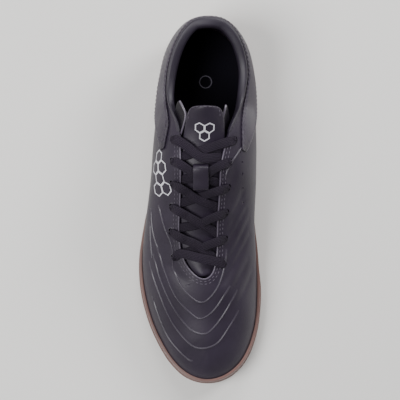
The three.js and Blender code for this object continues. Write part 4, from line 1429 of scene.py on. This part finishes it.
class SHOE_OT_stitches(bpy.types.Operator):
    """Sew two rows round the throat, one round the panel and one round the tongue's edge"""

    bl_idname = "shoe.stitches"
    bl_label = "Stitches"

    throat_rows = (1.7 * MM, 3.5 * MM)
    panel_inset = 0.04
    tongue_line = ((188.4, 119), (189.4, 111), (193.5, 107.2), (205.5, 106.6), (217.4, 107.4),
                   (219.6, 111), (220.2, 119))

    def throat(self, last, tree, inset):
        """Line beside the throat's edge."""
        edge = throat_edge(last)
        along = np.gradient(edge[:, :2], axis=0)
        outward = unit(np.stack([along[:, 1], -along[:, 0], 0 * along[:, 0]], -1))
        side = np.sign(outward[0, 0]) * -1
        touched = [drop(tree, point) for point in edge + side * outward * inset]
        return (np.array(column) for column in zip(*touched))

    def panel(self, last, sign):
        reach = last.rear_reach(PANEL_RIBS)
        share = np.linspace(0, 0.965, 90)
        low, high = panel_edges(share)
        inset = np.minimum(self.panel_inset, (high - low) * 0.35)
        r = np.concatenate([share, share[::-1]]) * reach
        w = np.concatenate([low + inset, (high - inset)[::-1]])
        q = last.side_rib(r, sign) % last.loop
        normal = last.normal(q, w)
        return last.skin(q, w) + normal * (CLEARANCE + 1.08 * MM), normal

    def execute(self, context):
        last = Last(context.scene.shoe_sizes)
        photo = Photo(last)
        upper, tongue = (tree_of(bpy.data.objects[name]) for name in ("shoe_upper", "shoe_tongue"))
        rows = [self.throat(last, upper, inset) for inset in self.throat_rows]
        rows += [self.panel(last, sign) for sign in (-1, 1)]
        rows.append(photo.path(self.tongue_line, 1.0 * MM, tongue))
        pieces = [thread_row(f"thread_{index}", *row) for index, row in enumerate(rows)]
        finish_piece(join("shoe_stitches", pieces), finish(context, "thread"), "upper_synthetic")
        return {"FINISHED"}


class SHOE_OT_prints(bpy.types.Operator):
    """Print plain six-sided cells, as of a ball's net, on the tongue and the lateral side"""

    bl_idname = "shoe.prints"
    bl_label = "Prints"

    # Cells across and along the shoe in cell widths, cell radius, and the group's centre in pixels.
    groups = (
        ("tongue", "tongue_synthetic", 3.5 * MM, (204.5, 132), ((-0.5, -0.5), (0.5, -0.5), (0.0, 0.5))),
        ("upper", "upper_synthetic", 4.6 * MM, (158.5, 173),
         ((-0.5, -0.5), (0.5, -0.5), (0.0, 0.5), (-0.5, 1.5), (0.5, 1.5), (0.0, -1.5))),
    )
    line_width = 0.75 * MM

    def execute(self, context):
        photo = Photo(Last(context.scene.shoe_sizes))
        angle = np.arange(6)[:, None] * math.pi / 3
        for where, slot, radius, pixel, cells in self.groups:
            tree = tree_of(bpy.data.objects[f"shoe_{where}"])
            centre, normal = photo.touch(*pixel, tree)
            across = unit(np.cross(np.array([0.0, 1.0, 0.0]), normal))
            ahead = np.cross(normal, across)
            lines = []
            for side, forward in cells:
                middle = centre + radius * (1.86 * side * across - 1.61 * forward * ahead)
                corners = middle + radius * (np.sin(angle) * across - np.cos(angle) * ahead)
                lines.append(outline_ribbon("print_line", corners, tree, self.line_width, 0.05 * MM))
            finish_piece(join(f"shoe_{where}_print", lines), finish(context, "print"), slot)
        return {"FINISHED"}


class SHOE_OT_stage(bpy.types.Operator):
    """Set up the floor, the soft light and the camera"""

    bl_idname = "shoe.stage"
    bl_label = "Stage"

    # Name, place, aim, size in metres and power in watts.
    lights = (
        ("key", (-0.75, -0.15, 1.15), (0, 0, 0), 0.8, 19),
        ("fill", (0.85, 0.75, 0.75), (0.02, 0.06, 0.05), 0.5, 12),
        ("rear", (0.0, 1.1, 0.9), (0, 0, 0.03), 0.7, 9),
    )
    floor_drop = 0.4 * MM

    def light(self, name, place, aim, width, power):
        data = bpy.data.lights.new(name, "AREA")
        data.shape, data.size, data.energy = "DISK", width, power
        lamp = bpy.data.objects.new(name, data)
        bpy.context.collection.objects.link(lamp)
        lamp.location = place
        lamp.rotation_euler = (Vector(aim) - Vector(place)).to_track_quat("-Z", "Y").to_euler()

    def execute(self, context):
        last = Last(context.scene.shoe_sizes)
        bpy.ops.object.select_all(action="DESELECT")
        bpy.ops.mesh.primitive_plane_add(size=6, location=(0, 0, -self.floor_drop))
        floor = active()
        floor.name = floor.data.name = "floor"
        floor_finish = bpy.data.materials.new("Pale floor")
        floor_finish.use_nodes = True
        shader = floor_finish.node_tree.nodes["Principled BSDF"]
        shader.inputs["Base Color"].default_value = (0.78, 0.77, 0.75, 1)
        shader.inputs["Roughness"].default_value = 0.8
        floor.data.materials.append(floor_finish)
        for lamp in self.lights:
            self.light(*lamp)
        world = bpy.data.worlds.new("studio")
        world.use_nodes = True
        world.node_tree.nodes["Background"].inputs["Color"].default_value = (1, 1, 1, 1)
        world.node_tree.nodes["Background"].inputs["Strength"].default_value = 0.28
        context.scene.world = world
        data = bpy.data.cameras.new("photo_camera")
        data.sensor_width = 36
        data.lens = 36 * CAMERA_HEIGHT / FLOOR_VIEW
        data.clip_end = 20
        camera = bpy.data.objects.new("photo_camera", data)
        context.collection.objects.link(camera)
        at = (MIDDLE_ROW_AT + (PHOTO_SIZE / 2 - MIDDLE_ROW_PIXEL) * PER_PIXEL) / last.length
        centre = last.place(at, (PHOTO_SIZE / 2 - HEEL_TOE_PIXEL) * PER_PIXEL, CAMERA_HEIGHT)
        camera.location = centre
        context.scene.camera = camera
        return {"FINISHED"}


class SHOE_PT_panel(bpy.types.Panel):
    bl_label = "Shoe"
    bl_idname = "SHOE_PT_panel"
    bl_space_type = "VIEW_3D"
    bl_region_type = "UI"
    bl_category = "Shoe"

    def draw(self, context):
        for name in ShoeSizes.__annotations__:
            self.layout.prop(context.scene.shoe_sizes, name)
        for name in ShoeColours.__annotations__:
            self.layout.prop(context.scene.shoe_colours, name)
        for operator in OPERATORS:
            self.layout.operator(operator.bl_idname)


OPERATORS = (
    SHOE_OT_stage,
    SHOE_OT_outsole,
    SHOE_OT_insole,
    SHOE_OT_upper,
    SHOE_OT_heel_quarter,
    SHOE_OT_collar,
    SHOE_OT_tongue,
    SHOE_OT_laces,
    SHOE_OT_vamp_lines,
    SHOE_OT_throat_bead,
    SHOE_OT_stitches,
    SHOE_OT_prints,
)
CLASSES = (ShoeSizes, ShoeColours, *OPERATORS, SHOE_PT_panel)


def register():
    for item in CLASSES:
        bpy.utils.register_class(item)
    bpy.types.Scene.shoe_sizes = bpy.props.PointerProperty(type=ShoeSizes)
    bpy.types.Scene.shoe_colours = bpy.props.PointerProperty(type=ShoeColours)


def unregister():
    del bpy.types.Scene.shoe_colours
    del bpy.types.Scene.shoe_sizes
    for item in reversed(CLASSES):
        bpy.utils.unregister_class(item)


def main():
    register()
    for operator in OPERATORS:
        group, name = operator.bl_idname.split(".")
        getattr(getattr(bpy.ops, group), name)()


if __name__ == "__main__":
    main()
